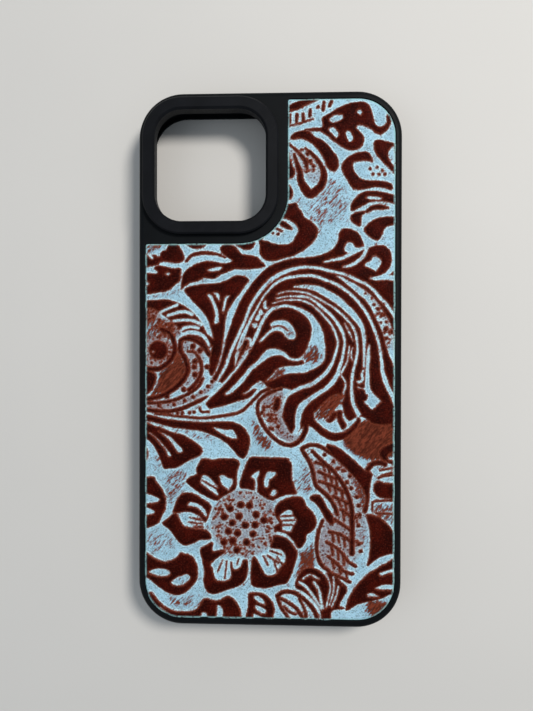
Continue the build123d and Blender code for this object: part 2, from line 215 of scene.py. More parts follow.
SCROLL = (
    ("raise", "",
     "-18,-12 -15.6,-9.6 -13,-6.8 -15.6,-5.9 -16.1,-5.2 -15.2,-4 -14.3,-2.1 -13.6,0 -12.7,3.5 -12,6.5 "
     "-10.8,10 -9.8,13 -8.4,16.1 -7.2,18.2 -5.4,20.9 -3.4,23.3 -1.2,25.5 1,26.9 4,28 7,28.7 10,28.9 "
     "13,29.2 15.5,29.9 17.4,30.9 18.7,32.2 19.6,33.8 19.8,35.6 20.4,36.7 21.6,37.1 23,36.9 24.7,36.1 "
     "25.9,34.5 26.6,32.6 26.7,31.4 27.4,31 28,31.4 29.3,32 31.2,32.3 32.7,32 34,30.7 34.4,28.8 "
     "34,26.6 32.7,24.8 30.8,23.8 29.2,23.3 28.9,22.7 30.2,22.3 32.5,22.4 37,22 37,-18.3 34.2,-18.4 "
     "32,-18.6 30,-18.2 28,-17.3 26.4,-16.2 25.9,-17.2 25,-18.9 23.6,-20.6 21.6,-22.1 19,-22.9 "
     "16.6,-22.3 14.3,-20.8 12.6,-19.3 11.3,-18.6 10.2,-18.6 8,-20.6 6.4,-20.9 5.2,-19 4,-16.5 "
     "3.8,-13.5 4.6,-10.8 6.4,-9 6,-8.3 3.5,-7.9 1,-8.4 -.6,-7.4 -2.2,-6 -3.6,-6.5 -5.1,-7.6 -6.2,-8.8 "
     "-7.6,-9.7 -7,-9.9 -5.8,-9.3 -4.6,-8.6 -3.7,-8.4 -3.9,-8.9 -4.8,-9.9 -5.8,-10.8 -8.4,-11.6 "
     "-10.8,-12.4 -13.2,-13.1 -15.6,-13.6 -17,-13.8"),
    ("press", "",
     "21.2,30.9 21.3,32.2 22.1,33.3 23,33.4 23.8,33 24.4,32.1 26,31.5 26.6,31.4 25.8,30.6 24,30.2 "
     "22.4,30.1"),
    ("press", ".5 .9 1 1.2 1", "15.6,27.7 18,28.3 19.9,28.6 21.6,29.2 23.6,30.3 25.6,31.3 26.9,31.6"),
    ("press", ".4 1 1 1.1 .9", "20.9,26.3 22.7,26.6 24.6,27.6 26,28.8 27,30.2 27.6,31.6"),
    ("press", "",
     "29.3,29.6 30.6,29.2 31.8,27.9 31.2,26.3 30.2,25 29.3,25.4 28,26 26.8,26.6 27.4,27.6 28.6,28.2"),
    ("press", ".5 1.2 1.5 1.8", "28.6,23.1 30.5,23.2 32.6,23.4 34.5,23.2 37,23.2"),
    ("press", ".4 .9 .9 .9 .9 1 1.3 1.1 .9 .9 .9 .9 1 1",
     "-17,-8.4 -15.2,-6.9 -14,-4.8 -12.9,-2.9 -12,-.9 -11.2,1.4 -10.3,3.6 -9.1,6.2 -8.1,8.5 -7,10.9 "
     "-6,13.7 -4.8,16.2 -3,18.9 -1,21.3 1.5,23.4 4.5,25 8,26 11,26.3 14,26 16,25.5 18,25 20.3,24.5 "
     "22,24 24,23 26,22.1 27.5,21.4 28.8,20.3 30,19.1 31.5,17.4 32.9,15.9 34.1,14.3 36,11.5"),
    ("press", ".5 .6 .9 .9 .9 .9 .9 .9 .9 1.3 1.3",
     "-4.4,13 -3,15.6 -1.6,18 .2,20.2 2.4,22.1 5.2,23.3 8,23.7 10,23.9 12,23.9 14,23.4 16,22.6 18,21.9 "
     "20,20.8 22,19.5 23.5,18.2 24.9,16.7 26.3,15 27.5,13.3 28.4,11.6 29.2,9.8 29.9,8.1 30.5,6.4 "
     "31,4.6 31.4,2.4 31.8,-.6 32.1,-3.3 32.8,-5.7 33.7,-7.9 34.6,-9.6 35.6,-12"),
    ("press", ".4 1.3 2 2.2 2.7 3 2.7 2 .3",
     "19.2,23.7 20.7,23 22,22.1 23.5,21.1 25.1,19.9 26.7,18.7 28.1,17.5 29.3,16.1 30.4,14.3 31.4,12.5 "
     "32.4,10.7 33.2,8.8 33.8,6.6 34.2,4.4 34.6,2 35,.2 35.2,-1.4"),
    ("press", ".5 1.3 2 2.2 2 1.9 1.4 1 .8 .7",
     "7.2,20.7 10,20.8 12,20.5 14,20 16,18.9 18,17.8 20,16.4 21.8,14.8 23.5,13.1 24.9,11.5 25.9,9.9 "
     "26.5,8.3 26.8,6.6 26.9,5 26.9,3 26.9,.5 26.8,-2"),
    ("press", ".6 1.1 1.1 1.3 1.6", "28.3,4.1 28.1,2 27.9,-1 27.8,-4 27.8,-7 28,-9"),
    ("press", ".5 .9 .8 .6", "26.6,-2.9 26.3,-4.2 26.5,-5.3 25.9,-6.2 25.1,-6.1"),
    ("press", "",
     "25,-7.3 26.3,-7.8 27.8,-7.4 28.7,-8.1 30,-9.8 31.4,-11.1 31.8,-11.8 30.7,-12.7 29.8,-13.8 "
     "28.9,-13.9 27.8,-12.9 26.8,-11.7 27.5,-11.2 27.8,-10.1 27.4,-9 26.3,-8.3 25.2,-8"),
    ("press", ".4 .5 .6 .6 .7 .8 .8 .9 1 1.3",
     "2.4,18.7 5,19.4 8,19.4 10,19.1 12,18.4 14,17.4 16,16.2 18,15 19.4,13.9 20.8,12.7 22,11.4 "
     "23.1,10.2 23.9,8.9 24.5,7.4 24.8,5.7 25,3.6 24.9,1.6 24.4,-.8 23.8,-3.1 23.5,-5.5 23.4,-7.9 "
     "23.5,-9.8 23.8,-12 24.5,-13.8 25.4,-15.6"),
    ("press", ".3 .6 .6 .3", "21.4,10.4 22.2,8.8 23,7.2 23.8,5.6"),
    ("press", ".4 .5 .7 .8 .9 1 .8 .8 1 1.4 1.2 1.4 1.9 1.6 1.3",
     "2,17.4 5,18 8,18.05 10,17.9 11.5,17.5 12.9,16.6 14.5,15.3 16,14.1 17.4,12.8 18.7,11.3 19.7,9.8 "
     "20.5,8.4 21.1,6.7 21.4,4.9 21.1,2.4 20.6,0 20,-2 19.3,-4.2 18,-6.3 16.2,-8.1 14.2,-9.4 "
     "12.1,-10.8 10.2,-12.3 9,-13.8 8.4,-15.6 8.2,-17.6 8.1,-19.4 7,-21.5"),
    ("press", ".4 .5 .6 .6 .6 .8 .7 .9 1.2 1.2 1.1 .9 .9",
     "1,16 3.5,16.8 6,17 8,17 10,16.6 12,15.7 13.7,14.3 15.1,12.9 16.5,11.3 17.7,9.8 18.6,8 19.2,6.3 "
     "19.5,4.8 19.2,3.1 18.5,.8 17.9,-1 16.9,-2.6 15.8,-4 14.2,-5.4 12.6,-6.6 11,-7.3 9,-7.9 7.2,-8.8 "
     "5.6,-9.8 4.6,-11.2 3.8,-13.4 3.5,-15"),
    ("press", "",
     "8.3,.6 9.7,1.6 10.8,3.8 11.7,6.5 11.9,9 11,11.3 9.3,13 7,14.3 4.7,14.8 2.5,14.4 .5,13.3 -.8,11.6 "
     "-1.6,12.4 -.5,14 1,15 3,15.7 5,15.9 8,15.2 9.9,14.4 12,13.1 13.6,11.3 14.8,9.5 15.5,7.5 15.9,5.5 "
     "16.1,2.5 15.8,0 14.7,-1.4 13.1,-2.5 11.4,-3.3 9.9,-3.8 7.2,-3.9 5,-4.2 3.4,-4.6 1.8,-5.4 .6,-5.9 "
     "-1,-6.4 -.4,-5.3 1.2,-3.7 2.4,-2.4 4,-1.8 5.6,-1.6 8.1,-1.5 9.7,-1 9.4,-.2 8,-.6 6.8,0"),
    ("raise", "",
     "-4.6,1.8 -4.2,3.8 -3.2,6.3 -1.9,8.7 -1,11 .4,13.2 2.5,14.3 4.7,14.7 7,14.2 9.3,12.9 11,11.2 "
     "11.8,9 11.5,6.5 10.7,3.8 9.5,1.6 7.8,.7 6.2,1.3 4,1 0,1.2"),
    ("press", "",
     "-5,-1.4 -3.6,-.3 -2.2,1.4 -.8,2.9 .7,3.3 2.3,3.2 3.5,2.8 4.7,2.1 5.9,.9 7.1,.5 8.3,.6 9.4,1.1 "
     "9.6,.1 8,-.5 6.4,-.4 4.9,.3 3.8,.9 2.1,1.1 .7,.8 -.8,0 -2.2,-1 -3.6,-2.2 -4.8,-3.1 -6,-4.8 "
     "-7.4,-6.6 -9.1,-8.3 -10.8,-9.7 -12.2,-10.2 -12.7,-9.6 -11.5,-8.6 -9.8,-6.9 -8.1,-5 -6.9,-3.6 "
     "-6,-2.4"),
    ("press", "",
     ".2,10.1 1.1,10.9 2.6,11.4 4.2,11.4 5.7,10.7 6.9,9.3 7.7,7.4 7.3,5.9 5.9,5.7 4.7,6.3 4,7.3 3,8 "
     "1.9,8 .7,7.5 -.5,6.6 -1.5,5.5 -2.5,4.8 -3.1,5.3 -2.2,6.2 -.6,7.9 .6,8.9"),
    ("raise", ".1 .25 .1", "1.2,9.3 2.6,9.6 4.2,9.2 5.2,8.3"),
    ("press", ".9 .8 .8 .7 .9 1 1 1 1",
     "-19.8,-13 -18.1,-11.8 -16.2,-9.9 -14.3,-8.1 -12.4,-6.2 -10.8,-4.3 -9.3,-2.6 -8.1,-.8 -6.9,1 "
     "-5.8,2.9 -4.6,5 -3.6,7.1 -2.7,9.3 -1.5,11.6 -.2,13.5 1.5,14.9"),
    ("press", ".2 1 1.4 1.2 .9 .6 .5",
     "-9.6,-1.8 -9.3,.7 -8.7,2.9 -8.1,5 -7.2,7.3 -6.2,9.5 -5.1,11.8 -3.9,13.9 -2.8,16"),
    ("press", ".6 .9 1 1 .5", "-7.4,6 -5.6,5.9 -5.4,4.6 -6.3,2.5 -7.6,.4 -8.9,-1.2"),
    ("press", "", "-5.1,10.3 -3.4,10.5 -3.3,9.3 -4.4,8.9"),
    ("press", "", "-4.1,11.4 -3.2,13.2 -2.4,12.4 -3,11"),
    ("press", "", "-3.2,13.3 -2.4,14.8 -1.6,13.6 -.8,13.2 -2.4,12.6"),
    ("press", "", "-1.9,15 -1.6,16.5 -.8,17 -.6,15.4 .3,14.9 -.9,14.2"),
    ("press", "",
     "13.1,-14.4 12.6,-15.5 13,-17 14.2,-18.4 16,-19.8 17.9,-20.7 19.6,-20.8 21.4,-20.3 22.9,-19.4 "
     "24.1,-18.1 25.1,-16.4 25.5,-15.2 24.2,-16.4 22.9,-17.1 22,-16.4 21.4,-15.3 21.1,-13.4 20.5,-12.3 "
     "19.5,-12.8 18.5,-13.8 17,-15.5 15.9,-16.6 15.3,-15.7 14.4,-15.4 13.8,-14.4"),
    ("raise", "", "16.3,-17.2 17.1,-16.4 18.1,-14.9 19.2,-14.5 19.2,-15.6 18.5,-16.9 17.5,-17.7"),
    ("raise", "", "19.1,-14.8 19.6,-17.2 20.3,-18.8 20.9,-19.6 22,-18.6 21.4,-17.5 20.7,-16.2 20.5,-14.4"),
    ("press", ".4 .6 .6 .6 .7",
     "22.7,3.8 22.3,.4 21.7,-1.4 20.8,-3.1 20.5,-4.4 21.3,-5.6 21.7,-7 21.4,-8.4 21,-9.6 20.8,-11 "
     "19.8,-12.6"),
    ("press", ".3 .5 .3", "23.6,3.4 23.2,1.4 23.7,-.2"),
    ("press", ".9 .3", "26.1,-16.4 27.2,-16.9 28.2,-17.7 29.3,-18.4 31.5,-18.7 34.3,-18.4"),
    ("dot", ".25", "27.2,18.8 29,17.4 30.4,13 33.7,4.9"),
    ("dot", ".35", "29.6,15.6 31.5,10.6 33.1,10.7"),
    ("dot", ".45", "30.8,14.4 32.3,12.8 34.6,8 33.2,6.1"),
    ("dot", ".65", "33,8.8"),
)
TAIL = (
    ("press", "",
     "13.4,-14.6 15.4,-12.2 18.2,-10 20,-9.8 20.4,-11.4 19,-13.4 17.4,-15.2 15.4,-16.2 13.8,-16.2"),
    ("raise", ".2 .5 .3", "19.6,-10.4 16.4,-13.6 14.6,-15.4"),
    ("raise", ".2 .45 .2", "17,-11.4 14.8,-13.8"),
    ("raise", ".8 .9 .8 .9 1 1 1 1.2 1.5",
     "3.4,-8.2 1.6,-8.8 -.4,-9.7 -2.1,-11 -3.2,-12.8 -3.1,-15.3 -2.1,-17.8 -.6,-20.1 1.6,-22.4 "
     "3.8,-23.8 6,-24.3 8,-23.6 9.5,-22 10.4,-20 10.4,-18.2"),
    ("dot", ".45", "-1.5,-13.5 -2,-15 .5,-16.5 2.6,-19"),
    ("raise", "", "1.2,-14.2 2,-10.8 3.2,-11.2 2.8,-14"),
)
FLOWER = (
    ("raise", "",
     "-20.7,-31.5 -20.1,-29.8 -18.7,-28.3 -15.8,-28.7 -13.9,-28.3 -10.1,-28.4 -8.5,-29.4 -8.9,-31.2 "
     "-9.2,-33 -9.4,-36.3 -10.3,-37.4 -13.5,-39.3 -14.7,-40.2 -17,-39.5 -20.8,-37.4 -23.4,-35.3 "
     "-23.6,-34.7 -22.7,-33.7 -20.7,-32.8"),
    ("press", "",
     "-19.6,-35 -19.3,-33.4 -18.6,-32.8 -17.7,-33.1 -16.1,-34.4 -14.5,-36.4 -15,-36.9 -14.3,-38.6 "
     "-14.6,-39 -16.1,-38 -17.7,-36.8 -19.3,-35.6"),
    ("raise", ".3", "-19,-34.6 -14.7,-37"),
    ("press", "",
     "-14.2,-33.1 -12.9,-32.9 -11.6,-33.7 -10.3,-34 -10.3,-35.6 -11,-36.8 -11.6,-37.5 -12,-36.9 "
     "-12.9,-36.4 -13.7,-35.2"),
    ("raise", "",
     "-27.4,-43.6 -26.6,-41 -25.8,-39.5 -24.3,-38.3 -22.7,-38.2 -20.8,-38.8 -18.9,-40 -17.3,-41 "
     "-16.5,-41.9 -16.7,-42.9 -17.9,-46.2 -18.6,-46.1 -20,-44.6 -22,-43.7 -24,-43.5 -26,-43.9 "
     "-27.2,-44"),
    ("press", "",
     "-23.1,-41 -22.1,-40.7 -20.2,-41.2 -18.3,-42.6 -17.6,-44.2 -17.8,-45.2 -18.9,-44.1 -20.2,-42.8 "
     "-21.5,-42.2 -23.1,-42"),
    ("raise", "",
     "-30.3,-46.8 -28.8,-45.5 -27.2,-44.1 -26.3,-44.2 -25.8,-45.5 -24.6,-47.4 -23.1,-48.1 -20.2,-48.4 "
     "-18.3,-48.7 -17,-49.6 -16.5,-50.9 -17.6,-51.4 -19.6,-51.5 -21.2,-52.3 -23.1,-53.1 -24.6,-53 "
     "-25.9,-52 -27.2,-50.3 -28.5,-48.7 -30.1,-47.4"),
    ("raise", "",
     "-19.6,-54.7 -19.2,-53.8 -17.6,-53 -16.8,-52.4 -16,-52.5 -16.2,-54.1 -15.7,-54.9 -13.5,-54.4 "
     "-12.5,-54.7 -12.9,-55.5 -14.8,-56.7 -16.7,-58 -18,-58.5 -19,-57"),
    ("raise", "",
     "-18.9,-57.5 -16.8,-57.8 -13,-56 -11,-56 -8.5,-57 -7.4,-57.5 -6.3,-57 -6,-58.6 -6.2,-61.5 "
     "-7.1,-63.4 -8.7,-64.6 -11,-65.4 -13.2,-66.2 -15.4,-67 -17,-66.7 -18.1,-65.3 -18.6,-63 "
     "-18.3,-60.5"),
    ("press", "",
     "-16.7,-58.7 -15.7,-57.6 -13,-56.2 -11,-56.3 -10.9,-58.5 -10.6,-61.7 -11.6,-63.1 -14.5,-63.3 "
     "-15.7,-62 -16,-60.1"),
    ("press", "", "-10.3,-57 -8.5,-57.2 -7.4,-57.7 -8.1,-59.2 -9.4,-60.1 -10.4,-59.5"),
    ("press", "",
     "-15.8,-57.5 -13,-55.5 -11,-55.3 -8.8,-56.2 -7.4,-57.2 -8.2,-58.2 -10.4,-58 -13,-57.4 -15.5,-58.6"),
    ("raise", "",
     "-4,-56.3 -4.7,-57 -5,-60 -5,-63.5 -4.2,-64.6 -2.2,-65 0,-64.9 3,-64 5,-63.6 6,-62 6.8,-60 "
     "7.6,-57.5 8.1,-55.5 7.7,-54 6.5,-52.3 5,-50.9 3,-50.1 1.2,-50.2 1.3,-51.3 .5,-53.4 3.3,-53.9 "
     "4.8,-55.4 4.7,-57.5 3.5,-59 2.5,-60.8 .8,-61.5 -.8,-61.3 -1.8,-60 -2.6,-58.5 -3.3,-57.2"),
    ("raise", ".3", ".5,-54.5 3.5,-55.5"),
    ("raise", ".3", "-.3,-55.8 2.8,-57.9"),
    ("raise", ".3", "-1.5,-56 -.2,-58.6"),
    ("raise", "",
     "1.9,-42 3.8,-40.1 6,-39.2 8.5,-38.9 9.8,-39.7 10.7,-41.6 12,-42.8 13.2,-44.7 13.4,-46.9 "
     "12.3,-48.5 10.7,-49.8 10.4,-51.4 9.4,-53.2 8.3,-53.4 7,-51.4 5,-49.5 3.2,-48.9 2.2,-48.6 "
     "1.5,-47.5 3,-46.5 2,-44.5"),
    ("press", "", "3,-44.5 5,-42.7 6.6,-42.9 6.9,-44.2 7.9,-45.4 6.9,-47.6 6.3,-48.9 4,-48.6 3.7,-46.3"),
    ("raise", ".25", "3.6,-44.6 6.8,-44.3"),
    ("raise", ".25", "3.9,-45.8 7.4,-45.6"),
    ("raise", ".25", "4.1,-47.1 6.8,-47"),
    ("raise", "",
     "-6,-29 -4.8,-27.8 0,-27.9 4.9,-28 5.8,-28.8 6.4,-30 6.6,-34 7.3,-36.3 7.8,-38 6,-38.2 4,-38.6 "
     "2,-39.5 .9,-40 -1.4,-39 -3,-37.8 -4.2,-37.2 -6,-36.8 -8,-36.5 -8.2,-35 -7.5,-32.6 -6.6,-30.2"),
    ("press", "",
     "-5.2,-33.4 -4.2,-32.3 -2.7,-31.5 -2.7,-32.8 -3.2,-34 -3.1,-35.6 -3.3,-37.9 -4.2,-37.6 -4,-35.5 "
     "-4.3,-34.1"),
    ("press", "",
     "-.2,-31.8 1.8,-31.8 2.2,-32.6 1.4,-33.5 .2,-34.5 -.1,-36.4 -1.2,-36.3 -1.5,-34.9 -1.2,-33.2"),
    ("press", "", ".3,-38.5 1.2,-36.8 2.5,-37.4 1.6,-38.9"),
    ("dot", ".95",
     "-8,-41.4 -5.5,-41.6 -11,-42.5 -12.7,-44.9 -8.5,-44.7 -3.6,-44.2 -1.4,-45.7 -10.4,-46.6 "
     "-6.7,-47.2 -3.9,-47.1 -11.5,-49 -8.9,-49.5 -4.5,-49.7 -10.3,-51.7 -6.3,-52.1 -12.8,-52.1 "
     "-9.1,-54.3"),
    ("raise", ".2", "-23,-46.6 -19,-47"),
    ("raise", ".2", "-22.6,-45.2 -19,-46"),
    ("raise", ".2", "-21.4,-47.8 -18.8,-48"),
    ("raise", ".2", "-12.6,-62.6 -12,-57.6"),
    ("raise", ".2", "-14.6,-60.6 -13.2,-57.4"),
    ("raise", ".2", "-9,-58.6 -8.6,-57"),
    ("raise", ".25", "3,-62 1.4,-57"),
    ("raise", ".25", "5,-60 2.4,-56.2"),
)
LEFT_EDGE = (
    ("raise", "",
     "-36,-33.9 -33.2,-33.7 -32.6,-34.7 -31.3,-36.3 -30.5,-37.5 -29.7,-39.5 -29.6,-42 -30.2,-43.9 "
     "-31.2,-45.8 -32.3,-47.2 -37,-47.4 -37,-34"),
    ("press", "", "-36,-38.5 -34,-38.7 -32.4,-39.3 -31.2,-40.2 -32.5,-41.2 -36,-41.2"),
    ("press", "", "-36,-42.5 -34,-42.7 -32.7,-43.7 -33.6,-44.5 -36,-44.6"),
    ("raise", "",
     "-36,-55.5 -33.3,-56.8 -31.7,-57.6 -29.8,-58.1 -27.8,-57.6 -26.2,-56.7 -25.3,-55.4 -24,-55.7 "
     "-22.1,-56.3 -20.8,-58.3 -20.4,-60.8 -20.8,-63.3 -22.1,-64.9 -23.7,-66.5 -25.6,-67.4 -27.5,-67.3 "
     "-30,-66.2 -32.3,-64.6 -34.2,-63 -36,-61.4"),
    ("press", "",
     "-34.7,-61.1 -33.3,-60.2 -31.7,-59.9 -29.8,-60 -28.2,-60.8 -28.5,-61.9 -30.1,-62.3 -32.3,-62.1"),
    ("press", "",
     "-28,-63.7 -26.9,-62.7 -25,-61.8 -23.4,-61.4 -22.4,-62.4 -23.1,-63.7 -24.7,-64.8 -26.3,-64.9 "
     "-27.7,-64.5"),
    ("raise", "",
     "-34.5,-67 -31.7,-69.4 -29.7,-71 -27.5,-72 -24.3,-72.3 -21.5,-72 -19.9,-70.7 -18.9,-69 -18.6,-72 "
     "-19.9,-76 -37,-76"),
    ("press", ".3", "-31.2,-71.2 -29,-72.8"),
    ("raise", "",
     "-18.8,-68.8 -15.8,-69 -13.9,-68.8 -12.3,-67.8 -11,-67.8 -9.4,-69.1 -8.5,-70.7 -8,-72.3 -8.5,-76 "
     "-19.5,-76"),
    ("press", "", "-14.8,-70.3 -13.8,-70.3 -13,-71.6 -13,-73.2 -13.8,-76 -15.2,-76 -14.9,-72.3"),
    ("press", "", "-19.3,-72.6 -18.6,-72.3 -17.6,-72.7 -17.6,-74.5 -19.4,-74.5"),
    ("raise", "",
     "-5.7,-67 -4.9,-66.5 -3,-66.5 -1.1,-67 .8,-68.8 1.6,-71 1.3,-72.9 1,-76 -6.4,-76 -5.9,-71.3 "
     "-5.7,-68.8"),
    ("press", "", "-4.3,-67.5 -3,-67.3 -1.4,-68.4 -.8,-69.9 -2,-69.7 -3.6,-68.8"),
    ("press", "", "-3.8,-70 -2.4,-70.3 -.6,-71.4 -1.1,-72.6 -2.7,-72.1 -3.8,-71"),
    ("press", "", "-4.4,-72.4 -3,-72.8 -1.1,-73.9 -1.5,-74.6 -4,-74.3"),
)
FEATHER = (
    ("raise", "1",
     "9.4,-25.4 10.3,-27 11.6,-29.2 12.4,-31.4 12.9,-34 13.5,-35.8 15.4,-37.4 17.3,-39.3 18.6,-41.5 "
     "19.5,-43.8"),
    ("raise", ".9", "9.4,-25.2 11.6,-24.2 14.1,-24.4 16.6,-25.8 19.1,-27.4 22,-29.2"),
    ("raise", "",
     "11.8,-39 12.6,-38.4 14.2,-38.4 15.4,-39.6 16.4,-41.8 18,-44.1 18.5,-46.3 17.7,-46.7 16.1,-45 "
     "15.3,-43.4 13.5,-40.9 12,-39.7"),
    ("raise", ".9",
     "15.3,-45.7 14.2,-48.5 13.7,-51.4 13.6,-53.9 14.2,-56.7 15.4,-58.6 17.3,-60.2 19.5,-62.7 "
     "21.7,-64.6"),
    ("raise", "",
     "16.6,-24 19,-24.6 22,-26.6 25,-29.3 27,-31.1 28.3,-31.5 29.2,-32.2 28.9,-34 28.5,-36.5 28.4,-39 "
     "28,-42 27.4,-43.4 26.7,-42.6 27.3,-40.8 27.3,-38.4 26.4,-36.2 24.9,-34 23,-31.8 20.9,-29.8 "
     "18.5,-27.5 16.5,-25.2"),
    ("raise", "",
     "27.7,-43.8 29.9,-44 31.8,-44.9 33.7,-46.5 35.2,-48.4 36.5,-49 36.5,-55 35.2,-54.7 32.7,-55.2 "
     "30.5,-56.3 29,-57.5 28,-58.2 28.5,-55.6 28.8,-52.5 28.8,-49.3 28.3,-46.5"),
    ("raise", ".9 1.4",
     "12.4,-26 15.3,-28.9 17.9,-31.1 19.8,-33.4 21.4,-35.9 22.5,-38.4 23.3,-41 23.6,-44.1 23.6,-54.8"),
    ("raise", ".7", "13.3,-29 17.9,-30.8"),
    ("raise", ".7", "14.2,-31.8 16.7,-32.8 19.5,-33.7"),
    ("raise", ".7", "14.3,-34.5 17.9,-35.6 22,-37.8"),
    ("raise", ".7", "18.4,-38.7 20.5,-39.7 23,-40.8"),
    ("raise", ".7", "20.3,-42.4 21.7,-43.1 23.5,-44.8"),
    ("raise", ".7", "18.6,-45.2 20.8,-46.6 23.3,-48.4"),
    ("raise", ".7", "17.2,-48.8 20.5,-49.5 23.3,-51.7"),
    ("raise", ".7", "16.5,-51.7 19.2,-53.3 21.1,-55.2 22.7,-57.3 24.6,-58.5"),
    ("raise", ".7", "16.8,-55.8 19.2,-57.7 21.4,-59.9 23.9,-60.7"),
    ("raise", ".7", "17,-60.2 20,-61.5 23,-63"),
    ("raise", ".5", "15.2,-29.6 15.9,-31.4"),
    ("raise", ".5", "16.8,-30.4 17.3,-32.2"),
    ("raise", ".5", "15.6,-32.2 16.2,-34"),
    ("raise", ".5", "17.4,-33 18,-34.8"),
    ("raise", ".5", "19,-33.8 19.4,-35.8"),
    ("raise", ".5", "16.4,-35.3 17.4,-37"),
    ("raise", ".5", "18.6,-36.2 19.2,-38"),
    ("raise", ".5", "20.6,-37.2 21,-39.2"),
    ("raise", ".5", "19.6,-39.4 20.4,-41.4"),
    ("raise", ".5", "21.6,-40.3 22,-42.4"),
    ("raise", ".5", "21,-43 21.4,-45.4"),
    ("raise", ".5", "18,-49.2 18.4,-51.6"),
    ("raise", ".5", "19.6,-49.4 20,-51.8"),
    ("raise", ".5", "21.4,-50.4 21.6,-53"),
    ("raise", ".5", "17.8,-52.6 18.2,-55.4"),
    ("raise", ".5", "19.6,-53.8 19.8,-56.6"),
    ("raise", ".5", "21,-55.2 21.4,-58"),
    ("raise", ".5", "18,-57 18.6,-59.2"),
    ("raise", ".5", "20,-58.4 20.4,-60.6"),
    ("raise", ".5", "22,-60 22.2,-62"),
    ("dot", ".5",
     "15.8,-26.9 18.3,-28.7 19.6,-30.8 23,-32.9 22.2,-34.6 23.4,-36.4 24.9,-38.8 25.5,-41.3 25.7,-43.9 "
     "25.4,-46.9 25.5,-52.1 26.1,-54.2"),
)
BOTTOM_RIGHT = (
    ("raise", "",
     "22,-71 22.7,-67.8 23.9,-65.5 25.8,-63 28,-60.8 30.8,-58.9 33,-57.7 36.5,-56.4 36.5,-66 "
     "34.5,-66.2 32.5,-67.2 30,-68 28,-68.4 25.5,-69.1 23.9,-70"),
    ("press", "", "31.2,-60.4 33,-59.6 36.5,-58.6 36.5,-59.8 34,-60.3 32,-61.1"),
    ("press", "", "30.2,-64.6 31.5,-63.8 33.5,-63.4 36.5,-63.7 36.5,-65 34,-65.1 31.5,-65"),
    ("press", "", "27.8,-66.3 29.2,-65.8 30.8,-66.5 31,-67 29.3,-67.1 28,-66.9"),
    ("raise", "",
     "7.6,-64.6 8.2,-62 9.5,-59.9 11.3,-59 14,-59.6 15.8,-61 17,-60.3 19,-62 20.5,-63.6 22.2,-65.3 "
     "21,-67.5 20,-69.8 21.5,-70.5 18,-71.2 17.6,-74 17.5,-76 14.8,-76 15,-72 13.4,-69 11.5,-67 "
     "9.6,-65.6"),
    ("press", ".5", "9.7,-62.2 11.8,-61.1 14.2,-62.2"),
    ("press", ".8", "8.8,-63.3 10.4,-64.3 12,-66.2 13.5,-68.4 15,-70.7"),
    ("press", ".8", "12.9,-63.2 14.2,-65.1 14.8,-67.7 15.3,-70.5"),
    ("press", ".5", "15.1,-59.8 16.7,-61.7 17.5,-64.5 17,-67.7 16.4,-70.2"),
    ("press", ".5", "18.4,-61.7 18.6,-64 18.3,-66.4 17.3,-69.6"),
    ("press", ".5", "19.8,-64.3 19.2,-67.1 18,-69.9"),
    ("raise", "1.0", "2.5,-67.3 4.1,-66.2 6.6,-66.1 9.1,-67.3 11.3,-69.2 13.2,-71.7 14.2,-74.5"),
    ("raise", ".8", "2.5,-67.4 3.1,-69.5 4.3,-71.7 6,-74"),
    ("raise", ".8", "2.5,-67.5 5.7,-69.2 7.9,-70.8 8.7,-72 10.4,-74"),
    ("raise", ".6", "4.4,-70.2 6,-71.8 7.6,-72.4"),
    ("raise", ".7", "8.8,-68 10.4,-71.4 10.7,-74"),
)
RIGHT_EDGE = (
    ("raise", "", "29.8,-35.2 31,-34.3 33,-34.8 36.5,-35.3 36.5,-38.8 32,-38.9 30.4,-38.1 29.7,-36.8"),
    ("raise", ".5", "31,-33.3 33,-32.6 36,-32.4"),
    ("raise", ".4", "30,-39.9 35.5,-39.6"),
    ("raise", ".4", "29.4,-40.3 29.3,-42.5"),
    ("raise", ".4", "30.5,-43.3 35.5,-43.6"),
    ("raise", "", "31,-26.3 32,-24.8 34,-23.7 36.5,-23.3 36.5,-29.5 34.5,-29.2 33,-28.6 31.8,-27.8"),
    ("press", "", "33.6,-27 34.7,-26 36.5,-25.8 36.5,-28 34,-28.2"),
    ("raise", "1.3", "28,-31 29.5,-29.3 31.5,-29 32.8,-29.4"),
    ("raise", ".3", "31.5,-31.2 35.5,-30.4"),
    ("raise", ".3", "31.2,-33 33,-32.2 35.5,-31.8"),
)
TOOLING = (LOOP_LEFT + COIL + TOP_RIGHT + SCROLL + TAIL
           + FLOWER + LEFT_EDGE + FEATHER + BOTTOM_RIGHT + RIGHT_EDGE)

# The band that winds round the coil, which is both rubbed and stippled.
COIL_BAND = "-26,4.4 -23.6,6.6 -20.4,5.2 -18.6,1 -19.4,-3 -22,-6.6 -26,-8.8 -23.6,-4 -23.4,0 -25.4,2.6"

